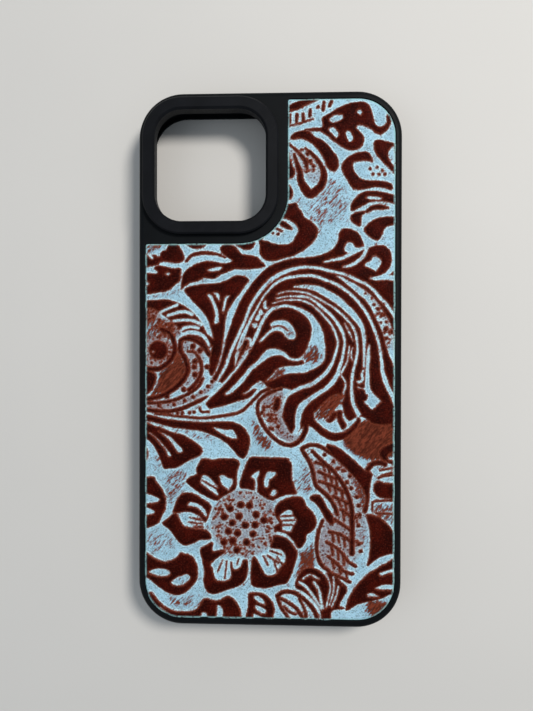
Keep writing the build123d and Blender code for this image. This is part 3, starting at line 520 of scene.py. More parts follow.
# Ground that is rubbed back to the brown, with how strongly it is rubbed.
WEAR = (
    (0.36, "10.5,40 13,38.6 17,38.2 21,40 23,44 22,48 19,51.5 16,52 14.5,50 12,46.5"),
    (1.0, "22.6,-19.4 26,-17.4 36,-17 36.4,-25.6 33.6,-28 30,-28.4 26,-27.6 22.6,-25.4 21,-22.4"),
    (0.8, "28.5,-68 31,-68.3 35,-69 34,-72 30,-73 27.5,-71"),
    (0.66, "6.4,-52.5 9.5,-54.5 12.6,-52 13.4,-56.5 13,-60 11,-60.5 9,-63 7.8,-61.5 8.6,-57"),
    (0.44, "9.6,-30.5 11.4,-30 12.4,-34 12.2,-38 9.4,-38.2 8.6,-34"),
    (0.42, "-30,-32.5 -24,-32 -23.8,-35 -26.5,-40.5 -28.8,-41.5"),
    (0.32, "-35,-49.5 -30.5,-48.5 -27,-51 -26.5,-54.5 -31,-55.8 -35,-54.6"),
    (0.6, "-4.6,-17.5 -2.8,-19 1.4,-24.6 -2,-25.6 -4.4,-22"),
    (0.65, "10.2,2.6 12.4,4.2 14.8,2.4 14.2,-.4 11,-1.2 9.6,.4"),
    (0.45, "-35,17.6 -31,17.8 -26,18.6 -25,21 -27.8,19.8 -31,19 -35,18.8"),
    (0.45, "-28.6,-67.6 -24,-68 -21.6,-67.2 -22,-70.6 -28,-70.8"),
    (0.7, "-3,-6.6 -.6,-5.4 2.4,-2.6 4.4,-2.2 4,-4.6 1.6,-5.8 -.6,-7.2"),
    (1.0, "-27,2.5 -25.5,1 -24,-1.5 -23.8,-3.5 -25,-6 -27.5,-8.3 -31,-9.8 -34,-10.3 -31.8,-6.5"
          " -31.5,-4 -29,-1.5 -27.3,0"),
    (0.34, "-2.4,-11 0,-9.6 3,-9.2 4.4,-11 3.6,-15 4.6,-19.4 6.6,-21.6 5,-23.2 1.6,-21.6 -1.4,-17"),
    (0.72, "12.6,-14.4 15,-11.4 18.4,-8.8 21,-9 21.4,-11.6 19.4,-14 17.4,-16 14,-17"),
    (0.55, "-36,30 -33,30.6 -28.5,33.4 -36,33.6"),
    (0.55, "-36,5 -31,6.4 -27,5.6 -26,9 -30,12 -36,12"),
    (0.2, COIL_BAND),
    (0.6, "22.8,-31 28,-37 28.4,-42 26.6,-43.6 24.6,-38"),
    (0.5, "29,-40.6 36,-41 36,-47.6 33,-46 30,-44.4"),
)
# Ground that is stippled with small brown specks, with how densely.
SPECKLE = (
    (0.7, "-7,-37.3 -3,-38.1 .4,-40.5 2.3,-44 2.3,-49 .4,-53 -3,-55.5 -7,-56.3 -11,-55.5 -14.4,-53"
          " -16.3,-49 -16.3,-44 -14.4,-40.5 -11,-38.1"),
    (0.9, "11,-26.5 14,-30 18,-33 21,-37 22.8,-42 23,-56 21,-62 17,-60 14.6,-56.5 14.2,-52 15.8,-46"
           " 18.6,-42 14.6,-37.5 12.8,-32"),
    (0.5, "21,23.4 25,20.8 28.6,17.4 31.4,12.4 33.6,8 35,3 34.2,9.8 31.5,15.6 28,19.6 24,22.8"),
    (0.8, "-2.6,-12 0,-9.8 4,-9 3.8,-13.5 5,-19 7.6,-21.5 9.4,-21.4 7,-23.6 4,-22.6 0,-18.8"),
    (1.0, "-36,6.2 -32,6.9 -28.6,5.2 -27.2,2.6 -28.4,-.2 -32,-1.9 -36,-1.6"),
    (0.9, "-36,11 -31.5,10.8 -31.6,14.8 -36,15.2"),
    (0.9, "-31.5,6.8 -26.4,6.2 -25.4,9.4 -29.4,11.6 -32.6,10.6"),
    (0.95, "-15,-5.6 -18,-8 -23,-10.8 -29,-12.4 -36,-12.8 -36,-14.2 -29,-14 -23,-12.2 -17.4,-9.2"),
    (0.6, "-9.4,-1 -8.2,-1 -5.4,3.8 -5.6,6 -7.6,6.2 -9,3"),
    (0.5, "17.6,-27.4 22,-30 26,-36 28,-42 27.5,-50 25.5,-56 23,-56 22.8,-42 21,-37 18.4,-33"),
    (0.65, COIL_BAND),
    (0.5, "5,58 8,60 13,57 15,52 12,50 9,54 6,57"),
)

# Small punched seeds scattered in a ring: middle, inner and outer radius, how many, and how large.
SCATTER = (
    (-7, -46.8, 6.5, 9.2, 84, 0.12, 0.32),
    (-7, -46.8, 5.0, 6.6, 16, 0.08, 0.2),
    (-31.7, 2.7, 3.1, 4.6, 46, 0.05, 0.28),
    (-33.4, 13.0, 0.2, 1.9, 22, 0.12, 0.3),
    (-28.6, 8.6, 0.2, 2.6, 34, 0.12, 0.3),
    (0.8, -16.5, 0.4, 3.8, 26, 0.14, 0.4),
    (31.6, 13.6, 0.3, 2.4, 16, 0.1, 0.28),
    (33.6, 7.6, 0.3, 1.9, 14, 0.1, 0.28),
    (-7.4, 3.4, 0.2, 2.2, 14, 0.1, 0.22),
    (11.2, 55.2, 0.4, 2.6, 14, 0.1, 0.3),
    (20.4, -31.5, 0.4, 2.6, 14, 0.1, 0.3),
    (24.6, -44.5, 0.2, 1.4, 10, 0.1, 0.3),
    (25, -51.5, 0.2, 1.5, 10, 0.1, 0.3),
)
SCATTER_SEED = 7

# Steps that a smooth curve takes from one point to the next.
SMOOTH_STEPS = 6
# What is added to the stated width of a pressed stroke, in millimetres.
PRESS_SPREAD = 0.25
# How deep open ground counts, and how far round a shape its depth is worked out, in millimetres.
FIELD_REACH = 1.5
SEED_REACH = 1
# Over how many millimetres rubbed and stippled ground fades out.
WEAR_SOFTNESS = 2.2
SPECKLE_SOFTNESS = 0.8

# Section of the tooling: from where to where each slope runs, in millimetres inside a pad's
# outline or, for the dish in open ground, outside it. Shares are of the tooling's depth.
PAD_WALL = (-0.34, 0.36)
PAD_WALL_SHARE = 0.76
PAD_CROWN = (0.0, 1.6)
PAD_CROWN_SHARE = 0.24
GROUND_DISH = (0.4, 1.5)
GROUND_DISH_SHARE = 0.10
WAVE_SHARE = 0.03

# The cut edge: how far in it is rounded and frayed, how far it drops, and where its side starts.
EDGE_WIDTH = 0.55 * MM
EDGE_DROP = 0.16 * MM
FRAY_START = 0.12 * MM
FRAY_STRENGTH = 0.9
SIDE_BREAK = 0.95 * MM
# A vertex may lie this share of a step outside the outline before it is trimmed away.
TRIM_SHARE = 0.45
SNAP_ROUNDS = 3
SNAP_NUDGE = 0.02 * MM
# A face this steep, or this near the underside, shows the raw leather.
RAW_SLOPE = 0.3
RAW_DEPTH = 0.1 * MM

# Colours inside the materials.
# Painted highlight: the pale rim on the ground round the foot of every pad.
PAINTED_RIM_HIGHLIGHT = (0.60, 0.84, 0.90)
PITTED_PAINT = (0.085, 0.115, 0.125)
DUSTY_PAINT = (0.16, 0.12, 0.11)
# Painted highlight: light warm specks on the grain of the pads.
PAINTED_GRAIN_HIGHLIGHT = (0.105, 0.0150, 0.0080)
STIPPLED_GROUND = (0.31, 0.195, 0.19)
FRAYED_FIBRE = (0.34, 0.62, 0.62)
RAW_FIBRE = (0.46, 0.60, 0.60)
ADHESIVE_DARK = (0.55, 0.52, 0.44)
ADHESIVE_LIGHT = (0.72, 0.70, 0.62)

# The studio, in metres. Each light: name, place, width, power and colour.
FLOOR_HALF = 2
FLOOR_GAP = 0.05 * MM
WORLD_COLOUR = (0.80, 0.90, 1.0)
WORLD_STRENGTH = 0.42
LIGHTS = (
    ("key_light", (0.30, 0.27, 0.58), 0.20, 4.1, (1.0, 0.97, 0.93)),
    ("fill_light", (-0.45, -0.10, 0.50), 0.5, 0.5, (0.86, 0.93, 1.0)),
)
CAMERA_PLACE = (0.005887, 0.002227, 0.181)
CAMERA_TURN = (-0.0059, 0.039, 0.002)
CAMERA_LENS = 30.29
CAMERA_CLIP = 0.005


def numbers(words):
    """Numbers written as words, such as "1 1.3 .8"."""
    return [float(word) for word in words.split()]


def points(words):
    """Points written as words, such as "1,2 3.5,4"."""
    return np.array([[float(part) for part in word.split(",")] for word in words.split()])


def smooth_line(line, closed):
    """A smooth curve through the points."""
    count = len(line)
    if count < 3:
        return line
    step = np.linspace(0, 1, SMOOTH_STEPS, endpoint=False)[:, None]
    rows = []
    for i in range(count if closed else count - 1):
        here, there = line[i], line[(i + 1) % count]
        before = line[i - 1] if closed or i > 0 else 2 * here - there
        after = line[(i + 2) % count] if closed or i + 2 < count else 2 * there - here
        rows.append(0.5 * (2 * here + (there - before) * step
                           + (2 * before - 5 * here + 4 * there - after) * step ** 2
                           + (3 * here - before - 3 * there + after) * step ** 3))
    if not closed:
        rows.append(line[-1:])
    return np.concatenate(rows)


def distance_along(x, y, line):
    """Distance to a line of points, and how far along it the nearest place is, from 0 to 1."""
    best = np.full(x.shape, np.inf)
    along = np.zeros(x.shape)
    lengths = np.hypot(*(line[1:] - line[:-1]).T)
    total = max(lengths.sum(), 1e-9)
    walked = 0.0
    for start, end, length in zip(line[:-1], line[1:], lengths):
        if length == 0:
            continue
        dx, dy = end - start
        place = np.clip(((x - start[0]) * dx + (y - start[1]) * dy) / length ** 2, 0, 1)
        gap = (x - start[0] - place * dx) ** 2 + (y - start[1] - place * dy) ** 2
        closer = gap < best
        best[closer] = gap[closer]
        along[closer] = (walked + place[closer] * length) / total
        walked += length
    return np.sqrt(best), along


def is_inside(x, y, outline):
    """Which places lie inside an outline, by how often a line to one side crosses it."""
    found = np.zeros(x.shape, bool)
    for start, end in zip(outline, np.roll(outline, -1, axis=0)):
        if start[1] == end[1]:
            continue
        crossing = (end[0] - start[0]) * (y - start[1]) / (end[1] - start[1]) + start[0]
        found ^= ((start[1] > y) != (end[1] > y)) & (x < crossing)
    return found


def outline_depth(x, y, outline):
    """Distance inside an outline, negative outside it."""
    gap, _ = distance_along(x, y, np.vstack([outline, outline[:1]]))
    return np.where(is_inside(x, y, outline), gap, -gap)


def near(x, y, line, reach):
    """Which places lie in the box round a line, grown by the reach."""
    low, high = line.min(axis=0) - reach, line.max(axis=0) + reach
    return np.nonzero((x > low[0]) & (x < high[0]) & (y > low[1]) & (y < high[1]))[0]


def depth_in_pads(x, y):
    """How far each place lies inside the raised pads, in mm, negative on the ground."""
    depth = np.full(x.shape, -FIELD_REACH)
    chance = np.random.default_rng(SCATTER_SEED)
    seeds = []
    for mx, my, inner, outer, count, small, large in SCATTER:
        reach, turn = chance.uniform(inner, outer, count), chance.uniform(0, 2 * np.pi, count)
        seeds += zip(mx + reach * np.cos(turn), my + reach * np.sin(turn),
                     chance.uniform(small, large, count))
    for kind, widths, words in TOOLING:
        width = np.array(numbers(widths)) + (PRESS_SPREAD if kind == "press" else 0)
        if kind == "dot":
            for middle in points(words):
                spot = near(x, y, middle[None], FIELD_REACH + width[0])
                gap = width[0] - np.hypot(x[spot] - middle[0], y[spot] - middle[1])
                depth[spot] = np.maximum(depth[spot], gap)
            continue
        line = smooth_line(points(words), not len(width))
        spot = near(x, y, line, FIELD_REACH + max(width, default=0))
        if not len(spot):
            continue
        if len(width):
            gap, along = distance_along(x[spot], y[spot], line)
            inside = np.interp(along, np.linspace(0, 1, len(width)), width) / 2 - gap
        else:
            inside = outline_depth(x[spot], y[spot], line)
        if kind == "raise":
            depth[spot] = np.maximum(depth[spot], inside)
        else:
            depth[spot] = np.minimum(depth[spot], -inside)
    for sx, sy, size in seeds:
        spot = near(x, y, np.array([[sx, sy]]), SEED_REACH)
        depth[spot] = np.maximum(depth[spot], size - np.hypot(x[spot] - sx, y[spot] - sy))
    return depth


def zone_strength(x, y, zones, softness):
    """How strongly each place belongs to the zones, fading over the softness at their outlines."""
    strength = np.zeros(x.shape)
    for amount, words in zones:
        line = smooth_line(points(words), True)
        spot = near(x, y, line, softness)
        inside = np.clip(outline_depth(x[spot], y[spot], line) / softness + 0.5, 0, 1)
        strength[spot] = np.maximum(strength[spot], amount * inside)
    return strength


def ease(value, low, high):
    """A soft step from 0 at low to 1 at high."""
    t = np.clip((value - low) / (high - low), 0, 1)
    return t * t * (3 - 2 * t)


def hide_wave(x, y):
    """The hide's own slow wave, never above its face, as a share of the tooling's depth."""
    return WAVE_SHARE * (np.sin(x * 0.9 + y * 0.5) + np.sin(y * 1.3 - x * 0.4)) - 2 * WAVE_SHARE


class CaseSizes(PropertyGroup):
    grid_step: FloatProperty(
        name="Tooling Step", description="Spacing of the leather's mesh",
        default=0.32 * MM, subtype="DISTANCE", unit="LENGTH")
    tooling_depth: FloatProperty(
        name="Tooling Depth", description="Height of the pads above the pressed ground",
        default=0.56 * MM, subtype="DISTANCE", unit="LENGTH")
    corner_radius: FloatProperty(
        name="Leather Corner", description="Radius of the leather's outer corners",
        default=10.475 * MM, subtype="DISTANCE", unit="LENGTH")
    notch_x: FloatProperty(
        name="Camera Notch Side", description="Side edge of the notch cut for the camera ring",
        default=5.2 * MM, subtype="DISTANCE", unit="LENGTH")
    notch_y: FloatProperty(
        name="Camera Notch Foot", description="Lower edge of the notch cut for the camera ring",
        default=33.05 * MM, subtype="DISTANCE", unit="LENGTH")
    notch_radius: FloatProperty(
        name="Camera Notch Corner", description="Radius of the inside corner of the notch",
        default=13.9 * MM, subtype="DISTANCE", unit="LENGTH")


class CaseColours(PropertyGroup):
    ground: FloatVectorProperty(
        name="Ground Paint", description="Pale blue paint in the pressed ground",
        default=(0.375, 0.605, 0.735), subtype="COLOR", size=3)
    pad: FloatVectorProperty(
        name="Pad Leather", description="Dark brown of the raised pads",
        default=(0.052, 0.0034, 0.0012), subtype="COLOR", size=3)
    rubbed: FloatVectorProperty(
        name="Rubbed Leather", description="Reddish brown where the paint is rubbed away",
        default=(0.20, 0.042, 0.021), subtype="COLOR", size=3)
    frame_black: FloatVectorProperty(
        name="Frame", description="Soft moulded frame and buttons",
        default=(0.0026, 0.0034, 0.0042), subtype="COLOR", size=3)
    ring_grey: FloatVectorProperty(
        name="Camera Ring", description="Raised ring round the camera",
        default=(0.0050, 0.0054, 0.0068), subtype="COLOR", size=3)
    floor: FloatVectorProperty(
        name="Floor", description="Plain studio floor",
        default=(0.60, 0.58, 0.55), subtype="COLOR", size=3)


class Recipe:
    """A material's nodes, added and joined one at a time."""

    def __init__(self, name):
        self.material = bpy.data.materials.new(name)
        self.material.use_nodes = True
        self.tree = self.material.node_tree
        self.shader = self.tree.nodes["Principled BSDF"]
        self.place = self.add("ShaderNodeTexCoord").outputs["Object"]

    def add(self, kind, **settings):
        node = self.tree.nodes.new(kind)
        for key, value in settings.items():
            setattr(node, key, value)
        return node

    def feed(self, socket, value):
        if isinstance(value, bpy.types.NodeSocket):
            self.tree.links.new(value, socket)
        else:
            socket.default_value = value

    def noise(self, size, detail=3.0, rough=0.5, place=None):
        node = self.add("ShaderNodeTexNoise")
        self.feed(node.inputs["Vector"], place or self.place)
        node.inputs["Scale"].default_value = 1 / size
        node.inputs["Detail"].default_value = detail
        node.inputs["Roughness"].default_value = rough
        return node.outputs["Fac"]

    def cells(self, size, feature="F1"):
        node = self.add("ShaderNodeTexVoronoi", feature=feature)
        self.feed(node.inputs["Vector"], self.place)
        node.inputs["Scale"].default_value = 1 / size
        return node.outputs["Distance"]

    def stretched(self, angle, scale):
        node = self.add("ShaderNodeMapping")
        self.feed(node.inputs["Vector"], self.place)
        node.vector_type = "TEXTURE"
        node.inputs["Rotation"].default_value = (0, 0, angle)
        node.inputs["Scale"].default_value = scale
        return node.outputs["Vector"]

    def value(self, name):
        return self.add("ShaderNodeAttribute", attribute_name=name).outputs["Fac"]

    def math(self, operation, first, second=0.0, third=0.0):
        node = self.add("ShaderNodeMath", operation=operation)
        for socket, value in zip(node.inputs, (first, second, third)):
            self.feed(socket, value)
        return node.outputs[0]

    def span(self, value, low, high, to_low=0.0, to_high=1.0, kind="SMOOTHSTEP"):
        node = self.add("ShaderNodeMapRange", interpolation_type=kind)
        for socket, number in zip(node.inputs[:5], (value, low, high, to_low, to_high)):
            self.feed(socket, number)
        return node.outputs["Result"]

    def mix(self, amount, first, second):
        node = self.add("ShaderNodeMix", data_type="RGBA")
        self.feed(node.inputs[0], amount)
        self.feed(node.inputs[6], first)
        self.feed(node.inputs[7], second)
        return node.outputs[2]

    def bump(self, height, distance, strength, before=None):
        node = self.add("ShaderNodeBump")
        self.feed(node.inputs["Height"], height)
        node.inputs["Distance"].default_value = distance
        node.inputs["Strength"].default_value = strength
        if before:
            self.feed(node.inputs["Normal"], before)
        return node.outputs["Normal"]

    def finish(self, colour, roughness, normal, **sockets):
        self.feed(self.shader.inputs["Base Color"], colour)
        self.feed(self.shader.inputs["Roughness"], roughness)
        self.feed(self.shader.inputs["Normal"], normal)
        for name, value in sockets.items():
            self.shader.inputs[name.replace("_", " ")].default_value = value
        return self.material


def rgba(colour, scale=1.0):
    """A colour made lighter or darker, with full alpha."""
    return tuple(channel * scale for channel in colour) + (1.0,)


def moulded(name, colour, roughness, grain):
    """Moulded soft or hard plastic with a fine spark-eroded grain and faint handling marks."""
    r = Recipe(name)
    cloud = r.noise(9 * MM, 3)
    fine = r.noise(grain, 2)
    marks = r.noise(1.2 * MM, 4, 0.6, r.stretched(0.6, (3, 1, 1)))
    tone = r.mix(r.span(cloud, 0.35, 0.7), rgba(colour, 0.85), rgba(colour, 1.25))
    tone = r.mix(r.span(marks, 0.58, 0.75, 0, 0.35), tone, rgba(colour, 2.2))
    rough = r.math("ADD", r.span(fine, 0.3, 0.7, roughness - 0.05, roughness + 0.06),
                   r.span(marks, 0.4, 0.7, 0, 0.06))
    normal = r.bump(fine, 0.02 * MM, 0.35)
    return r.finish(tone, rough, normal, Specular_IOR_Level=0.09)


def tooled_leather():
    """Two-tone leather: blue paint in the pressed ground, glossy brown pads, rubbed patches."""
    colours = bpy.context.scene.case_colours
    r = Recipe("two_tone_tooled_leather")
    depth, wear, speckle = r.value("tooling"), r.value("wear"), r.value("speckle")
    grain = r.noise(0.42 * MM, 3, 0.6)
    fine = r.noise(0.29 * MM, 2, 0.6)
    cloud = r.noise(5 * MM, 3)
    pebble = r.span(r.cells(0.62 * MM, "DISTANCE_TO_EDGE"), 0.0, 0.16)
    drift = r.noise(1.3 * MM, 3, 0.6)
    ragged = r.math("MULTIPLY_ADD", r.math("SUBTRACT", grain, 0.5), 0.75, depth)
    ragged = r.math("MULTIPLY_ADD", r.math("SUBTRACT", drift, 0.5), 0.5, ragged)
    brown = r.span(ragged, -0.16, 0.0)
    halo = r.span(ragged, -0.40, -0.12)
    # paint in the ground, with a pale painted highlight as a rim round the foot of every pad
    paint = r.mix(r.span(cloud, 0.3, 0.7), rgba(colours.ground, 0.86), rgba(colours.ground, 1.06))
    # painted highlight: pale ground paint close round every pad
    paint = r.mix(r.span(depth, -0.72, -0.34, 0, 0.85), paint, rgba(PAINTED_RIM_HIGHLIGHT))
    paint = r.mix(r.span(fine, 0.50, 0.68, 0, 0.85), paint, rgba(PITTED_PAINT))
    paint = r.mix(r.span(grain, 0.56, 0.74, 0, 0.35), paint, rgba(DUSTY_PAINT))
    # brown leather of the pads, darkest in the middle of each, with painted highlight specks on its grain
    # and painted shade in the creases of its pebbled grain
    hide = r.mix(r.span(cloud, 0.38, 0.64), rgba(colours.pad, 0.38), rgba(colours.pad, 1.05))
    hide = r.mix(r.span(ragged, -0.1, 0.52), rgba(colours.rubbed, 0.95), hide)
    # painted highlight: lighter warm specks following the grain of the pads
    hide = r.mix(r.span(grain, 0.48, 0.68, 0, 0.7), hide, rgba(PAINTED_GRAIN_HIGHLIGHT))
    # painted shade: the pad colour darkened in the creases between the grain's pebbles
    hide = r.mix(r.span(pebble, 0, 1, 0.3, 1), rgba(colours.pad, 0.18), hide)
    # patches where the paint is rubbed away in short slanting strokes
    strokes = r.noise(0.46 * MM, 4, 0.72, r.stretched(0.85, (4.0, 1, 1)))
    patches = r.span(r.noise(6.5 * MM, 3, 0.6), 0.47, 0.68, 0, 0.36)
    rub = r.math("MAXIMUM", wear, patches)
    worn = r.span(r.math("MULTIPLY_ADD", rub, 0.46, strokes), 0.63, 0.76)
    worn = r.math("MULTIPLY", worn, r.span(rub, 0.02, 0.35))
    worn = r.math("MAXIMUM", worn, r.span(wear, 0.75, 0.95))
    rubbed = r.mix(r.span(strokes, 0.40, 0.64), rgba(colours.rubbed, 0.30), rgba(colours.rubbed, 1.0))
    rubbed = r.mix(r.span(grain, 0.45, 0.7, 0, 0.4), rubbed, rgba(colours.rubbed, 0.3))
    # stippled ground, greyed and freckled with brown
    specks = r.noise(0.5 * MM, 3, 0.65)
    freckle = r.span(r.math("MULTIPLY_ADD", speckle, 0.2, specks), 0.58, 0.72)
    freckle = r.math("MULTIPLY", freckle, r.span(speckle, 0.02, 0.3, 0, 0.46))
    ground = r.mix(r.math("MULTIPLY", speckle, 0.62), paint, rgba(STIPPLED_GROUND))
    ground = r.mix(r.math("MAXIMUM", worn, freckle), ground, rubbed)
    punched = r.math("MULTIPLY", r.span(r.cells(1.1 * MM), 0.22, 0.34, 0.9, 0),
                     r.span(speckle, 0.2, 0.6))
    ground = r.mix(punched, ground, rgba(colours.rubbed, 0.5))
    stray = r.span(r.noise(1.1 * MM, 5, 0.7), 0.57, 0.70, 0, 0.7)
    ground = r.mix(stray, ground, rgba(colours.rubbed, 0.7))
    ground = r.mix(r.math("MULTIPLY", halo, 0.85), ground, rgba(colours.rubbed, 1.0))
    colour = r.mix(brown, ground, hide)
    # pale fibres along the cut edge
    fray = r.math("MULTIPLY", r.value("rim"), r.span(r.noise(0.6 * MM, 4, 0.7), 0.36, 0.50))
    colour = r.mix(fray, colour, rgba(FRAYED_FIBRE))
    rough = r.math("ADD", r.span(brown, 0, 1, 0.62, 0.42), r.span(fine, 0.3, 0.7, -0.04, 0.06))
    normal = r.bump(pebble, 0.06 * MM, 0.7)
    normal = r.bump(grain, 0.16 * MM, 0.6, normal)
    return r.finish(colour, rough, normal, Specular_IOR_Level=0.028)


def notch_gap(x, y, sizes):
    """Distance inside the leather's outline in metres, with its camera notch taken out."""
    low, high = LEATHER_BOX
    middle, half = (low + high) / 2, (high - low) / 2
    dx = np.abs(x - middle.x) - half.x + sizes.corner_radius
    dy = np.abs(y - middle.y) - half.y + sizes.corner_radius
    outer = np.minimum(np.maximum(dx, dy), 0) + np.hypot(np.maximum(dx, 0), np.maximum(dy, 0))
    outer -= sizes.corner_radius
    nx, ny = x - sizes.notch_x + sizes.notch_radius, sizes.notch_y + sizes.notch_radius - y
    notch = np.minimum(np.maximum(nx, ny), 0) + np.hypot(np.maximum(nx, 0), np.maximum(ny, 0))
    notch -= sizes.notch_radius
    return -np.maximum(outer, -notch)


class CASE_OT_leather_panel(Operator):
    """Cut and tool the leather back panel"""
    bl_idname = "case.leather_panel"
    bl_label = "Leather Panel"

    def execute(self, context):
        sizes = context.scene.case_sizes
        low, high = LEATHER_BOX
        middle, half = (low + high) / 2, (high - low) / 2
        across, along = round(2 * half.x / sizes.grid_step), round(2 * half.y / sizes.grid_step)
        bm = bmesh.new()
        bmesh.ops.create_grid(bm, x_segments=across, y_segments=along, size=1)
        bmesh.ops.scale(bm, vec=(half.x, half.y, 1), verts=bm.verts)
        bmesh.ops.translate(bm, vec=(middle.x, middle.y, high.z), verts=bm.verts)
        bm.verts.ensure_lookup_table()
        place = np.array([v.co[:2] for v in bm.verts])
        gap = notch_gap(place[:, 0], place[:, 1], sizes)
        outside = [v for v, g in zip(bm.verts, gap) if g < -TRIM_SHARE * sizes.grid_step]
        bmesh.ops.delete(bm, geom=outside, context="VERTS")
        loose = [v for v in bm.verts if not v.link_faces]
        bmesh.ops.delete(bm, geom=loose, context="VERTS")
        # the cut edge is drawn onto the true outline
        rim = [v for v in bm.verts if v.is_boundary]
        for _ in range(SNAP_ROUNDS):
            spots = np.array([v.co[:2] for v in rim])
            g = notch_gap(spots[:, 0], spots[:, 1], sizes)
            gx = (notch_gap(spots[:, 0] + SNAP_NUDGE, spots[:, 1], sizes) - g) / SNAP_NUDGE
            gy = (notch_gap(spots[:, 0], spots[:, 1] + SNAP_NUDGE, sizes) - g) / SNAP_NUDGE
            length = np.maximum(gx ** 2 + gy ** 2, 0.25)
            for v, dx, dy in zip(rim, -g * gx / length, -g * gy / length):
                v.co.x += dx
                v.co.y += dy
        bm.verts.index_update()
        place = np.array([v.co[:2] for v in bm.verts])
        x, y = place[:, 0] / MM, place[:, 1] / MM
        depth = depth_in_pads(x, y)
        edge = notch_gap(place[:, 0], place[:, 1], sizes)
        lift = PAD_WALL_SHARE * ease(depth, *PAD_WALL) + PAD_CROWN_SHARE * ease(depth, *PAD_CROWN)
        dish = GROUND_DISH_SHARE * ease(-depth, *GROUND_DISH)
        level = high.z + sizes.tooling_depth * (lift - 1 + dish * (depth < 0) + hide_wave(x, y))
        level -= EDGE_DROP * (1 - ease(edge, 0, EDGE_WIDTH)) ** 2
        for v, z in zip(bm.verts, level):
            v.co.z = min(z, high.z)
        wear = zone_strength(x, y, WEAR, WEAR_SOFTNESS)
        speckle = zone_strength(x, y, SPECKLE, SPECKLE_SOFTNESS)
        layers = [bm.verts.layers.float.new(name) for name in ("tooling", "wear", "speckle", "rim")]
        rim_band = FRAY_STRENGTH * (1 - ease(edge, FRAY_START, EDGE_WIDTH))
        for v, values in zip(bm.verts, zip(depth, wear, speckle, rim_band)):
            for layer, number in zip(layers, values):
                v[layer] = number
        # the cut side and the flesh side
        cut = [e for e in bm.edges if e.is_boundary]
        for level_z in (high.z - SIDE_BREAK, low.z):
            grown = bmesh.ops.extrude_edge_only(bm, edges=cut)["geom"]
            for v in (g for g in grown if isinstance(g, bmesh.types.BMVert)):
                v.co.z = level_z
            cut = [g for g in grown if isinstance(g, bmesh.types.BMEdge) and g.is_boundary]
        bmesh.ops.triangle_fill(bm, edges=cut, use_beauty=True)
        bmesh.ops.recalc_face_normals(bm, faces=bm.faces)
        for face in bm.faces:
            face.smooth = True
            if abs(face.normal.z) < RAW_SLOPE or face.calc_center_median().z < low.z + RAW_DEPTH:
                face.material_index = 1
        mesh = bpy.data.meshes.new("tooled_leather")
        bm.to_mesh(mesh)
        bm.free()
        piece = bpy.data.objects.new("tooled_leather", mesh)
        context.scene.collection.objects.link(piece)
        mesh.materials.append(tooled_leather())
        mesh.materials.append(cut_leather())
        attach(piece, "case")
        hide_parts("leather_panel")
        return {"FINISHED"}


def cut_leather():
    """Raw cut edge and flesh side: pale fibres with paint run over the arris."""
    colours = bpy.context.scene.case_colours
    r = Recipe("cut_leather_edge")
    fibre = r.noise(0.3 * MM, 4, 0.65, r.stretched(0, (1, 1, 3)))
    tone = r.mix(r.span(fibre, 0.35, 0.65), rgba(colours.ground, 0.75), rgba(RAW_FIBRE))
    tone = r.mix(r.span(r.noise(3 * MM, 4), 0.55, 0.7, 0, 0.7), tone, rgba(colours.rubbed, 0.6))
    return r.finish(tone, r.span(fibre, 0, 1, 0.75, 0.95), r.bump(fibre, 0.08 * MM, 0.6))


def dress(node, material):
    """Give a CAD node its one material."""
    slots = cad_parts[node].data.materials
    slots.clear()
    slots.append(material)


class CASE_OT_soft_frame(Operator):
    """Finish the soft moulded frame that grips the phone"""
    bl_idname = "case.soft_frame"
    bl_label = "Soft Frame"

    def execute(self, context):
        dress("bumper_frame", moulded("soft_moulded_frame", context.scene.case_colours.frame_black,
                                      0.5, 0.22 * MM))
        return {"FINISHED"}


class CASE_OT_buttons(Operator):
    """Finish the volume and power buttons"""
    bl_idname = "case.buttons"
    bl_label = "Buttons"

    def execute(self, context):
        material = moulded("soft_moulded_button", context.scene.case_colours.frame_black,
                           0.42, 0.16 * MM)
        for node in ("volume_up_button", "volume_down_button", "power_button"):
            dress(node, material)
        return {"FINISHED"}


class CASE_OT_camera_ring(Operator):
    """Finish the raised ring round the camera"""
    bl_idname = "case.camera_ring"
    bl_label = "Camera Ring"

    def execute(self, context):
        dress("camera_ring", moulded("satin_camera_ring", context.scene.case_colours.ring_grey,
                                     0.44, 0.25 * MM))
        return {"FINISHED"}


class CASE_OT_back_plate(Operator):
    """Finish the hard back plate and the adhesive sheet on it"""
    bl_idname = "case.back_plate"
    bl_label = "Back Plate and Adhesive"

    def execute(self, context):
        dress("back_plate", moulded("hard_back_plate", context.scene.case_colours.frame_black,
                                    0.35, 0.3 * MM))
        r = Recipe("adhesive_film")
        cloud = r.noise(1.5 * MM, 3)
        tone = r.mix(cloud, rgba(ADHESIVE_DARK), rgba(ADHESIVE_LIGHT))
        dress("adhesive_sheet", r.finish(tone, r.span(cloud, 0, 1, 0.4, 0.6),
                                         r.bump(cloud, 0.03 * MM, 0.4)))
        return {"FINISHED"}


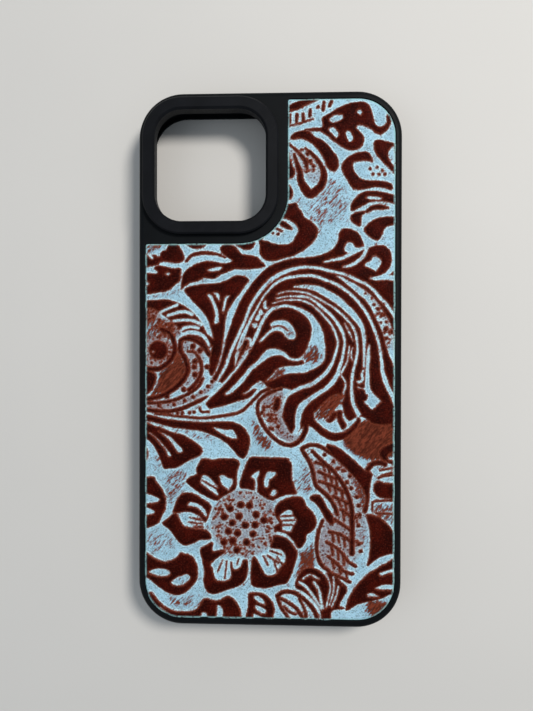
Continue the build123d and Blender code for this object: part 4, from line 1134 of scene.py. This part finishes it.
class CASE_OT_stage(Operator):
    """Set out the floor, the lights and the camera"""
    bl_idname = "case.stage"
    bl_label = "Studio Stage"

    def execute(self, context):
        scene = context.scene
        scene.view_settings.view_transform = "Standard"
        bm = bmesh.new()
        bmesh.ops.create_grid(bm, x_segments=1, y_segments=1, size=FLOOR_HALF)
        bmesh.ops.translate(bm, vec=(0, 0, CAD_BOX[0].z - FLOOR_GAP), verts=bm.verts)
        mesh = bpy.data.meshes.new("floor")
        bm.to_mesh(mesh)
        bm.free()
        floor = bpy.data.objects.new("floor", mesh)
        scene.collection.objects.link(floor)
        r = Recipe("studio_floor")
        tone = r.mix(r.noise(60 * MM, 2), rgba(scene.case_colours.floor, 0.97),
                     rgba(scene.case_colours.floor, 1.03))
        mesh.materials.append(r.finish(tone, 0.8, r.bump(r.noise(0.5 * MM, 2), 0.02 * MM, 0.2)))
        world = bpy.data.worlds.new("studio")
        world.use_nodes = True
        backdrop = world.node_tree.nodes["Background"]
        backdrop.inputs["Color"].default_value = rgba(WORLD_COLOUR)
        backdrop.inputs["Strength"].default_value = WORLD_STRENGTH
        scene.world = world
        for name, place, size, power, tint in LIGHTS:
            lamp = bpy.data.lights.new(name, "AREA")
            lamp.shape = "DISK"
            lamp.size = size
            lamp.energy = power
            lamp.color = tint
            light = bpy.data.objects.new(name, lamp)
            scene.collection.objects.link(light)
            light.location = place
            light.rotation_euler = Vector(place).to_track_quat("Z", "Y").to_euler()
        lens = bpy.data.cameras.new("camera")
        lens.lens = CAMERA_LENS
        lens.clip_start = CAMERA_CLIP
        camera = bpy.data.objects.new("camera", lens)
        scene.collection.objects.link(camera)
        camera.location = CAMERA_PLACE
        camera.rotation_euler = Euler(CAMERA_TURN)
        scene.camera = camera
        return {"FINISHED"}


OPERATORS = (
    CASE_OT_stage,
    CASE_OT_soft_frame,
    CASE_OT_buttons,
    CASE_OT_back_plate,
    CASE_OT_camera_ring,
    CASE_OT_leather_panel,
)


class CASE_PT_panel(Panel):
    """Steps and settings of the phone case"""
    bl_idname = "CASE_PT_panel"
    bl_label = "Phone Case"
    bl_space_type = "VIEW_3D"
    bl_region_type = "UI"
    bl_category = "Phone Case"

    def draw(self, context):
        layout = self.layout
        for operator in OPERATORS:
            layout.operator(operator.bl_idname)
        for group in (context.scene.case_sizes, context.scene.case_colours):
            box = layout.box()
            for name in group.bl_rna.properties.keys():
                if name not in ("rna_type", "name"):
                    box.prop(group, name)


CLASSES = (CaseSizes, CaseColours) + OPERATORS + (CASE_PT_panel,)


def register():
    for cls in CLASSES:
        bpy.utils.register_class(cls)
    bpy.types.Scene.case_sizes = PointerProperty(type=CaseSizes)
    bpy.types.Scene.case_colours = PointerProperty(type=CaseColours)


def unregister():
    del bpy.types.Scene.case_colours
    del bpy.types.Scene.case_sizes
    for cls in reversed(CLASSES):
        bpy.utils.unregister_class(cls)


def main():
    register()
    bpy.ops.case.stage()
    bpy.ops.case.soft_frame()
    bpy.ops.case.buttons()
    bpy.ops.case.back_plate()
    bpy.ops.case.camera_ring()
    bpy.ops.case.leather_panel()


if __name__ == "__main__":
    main()
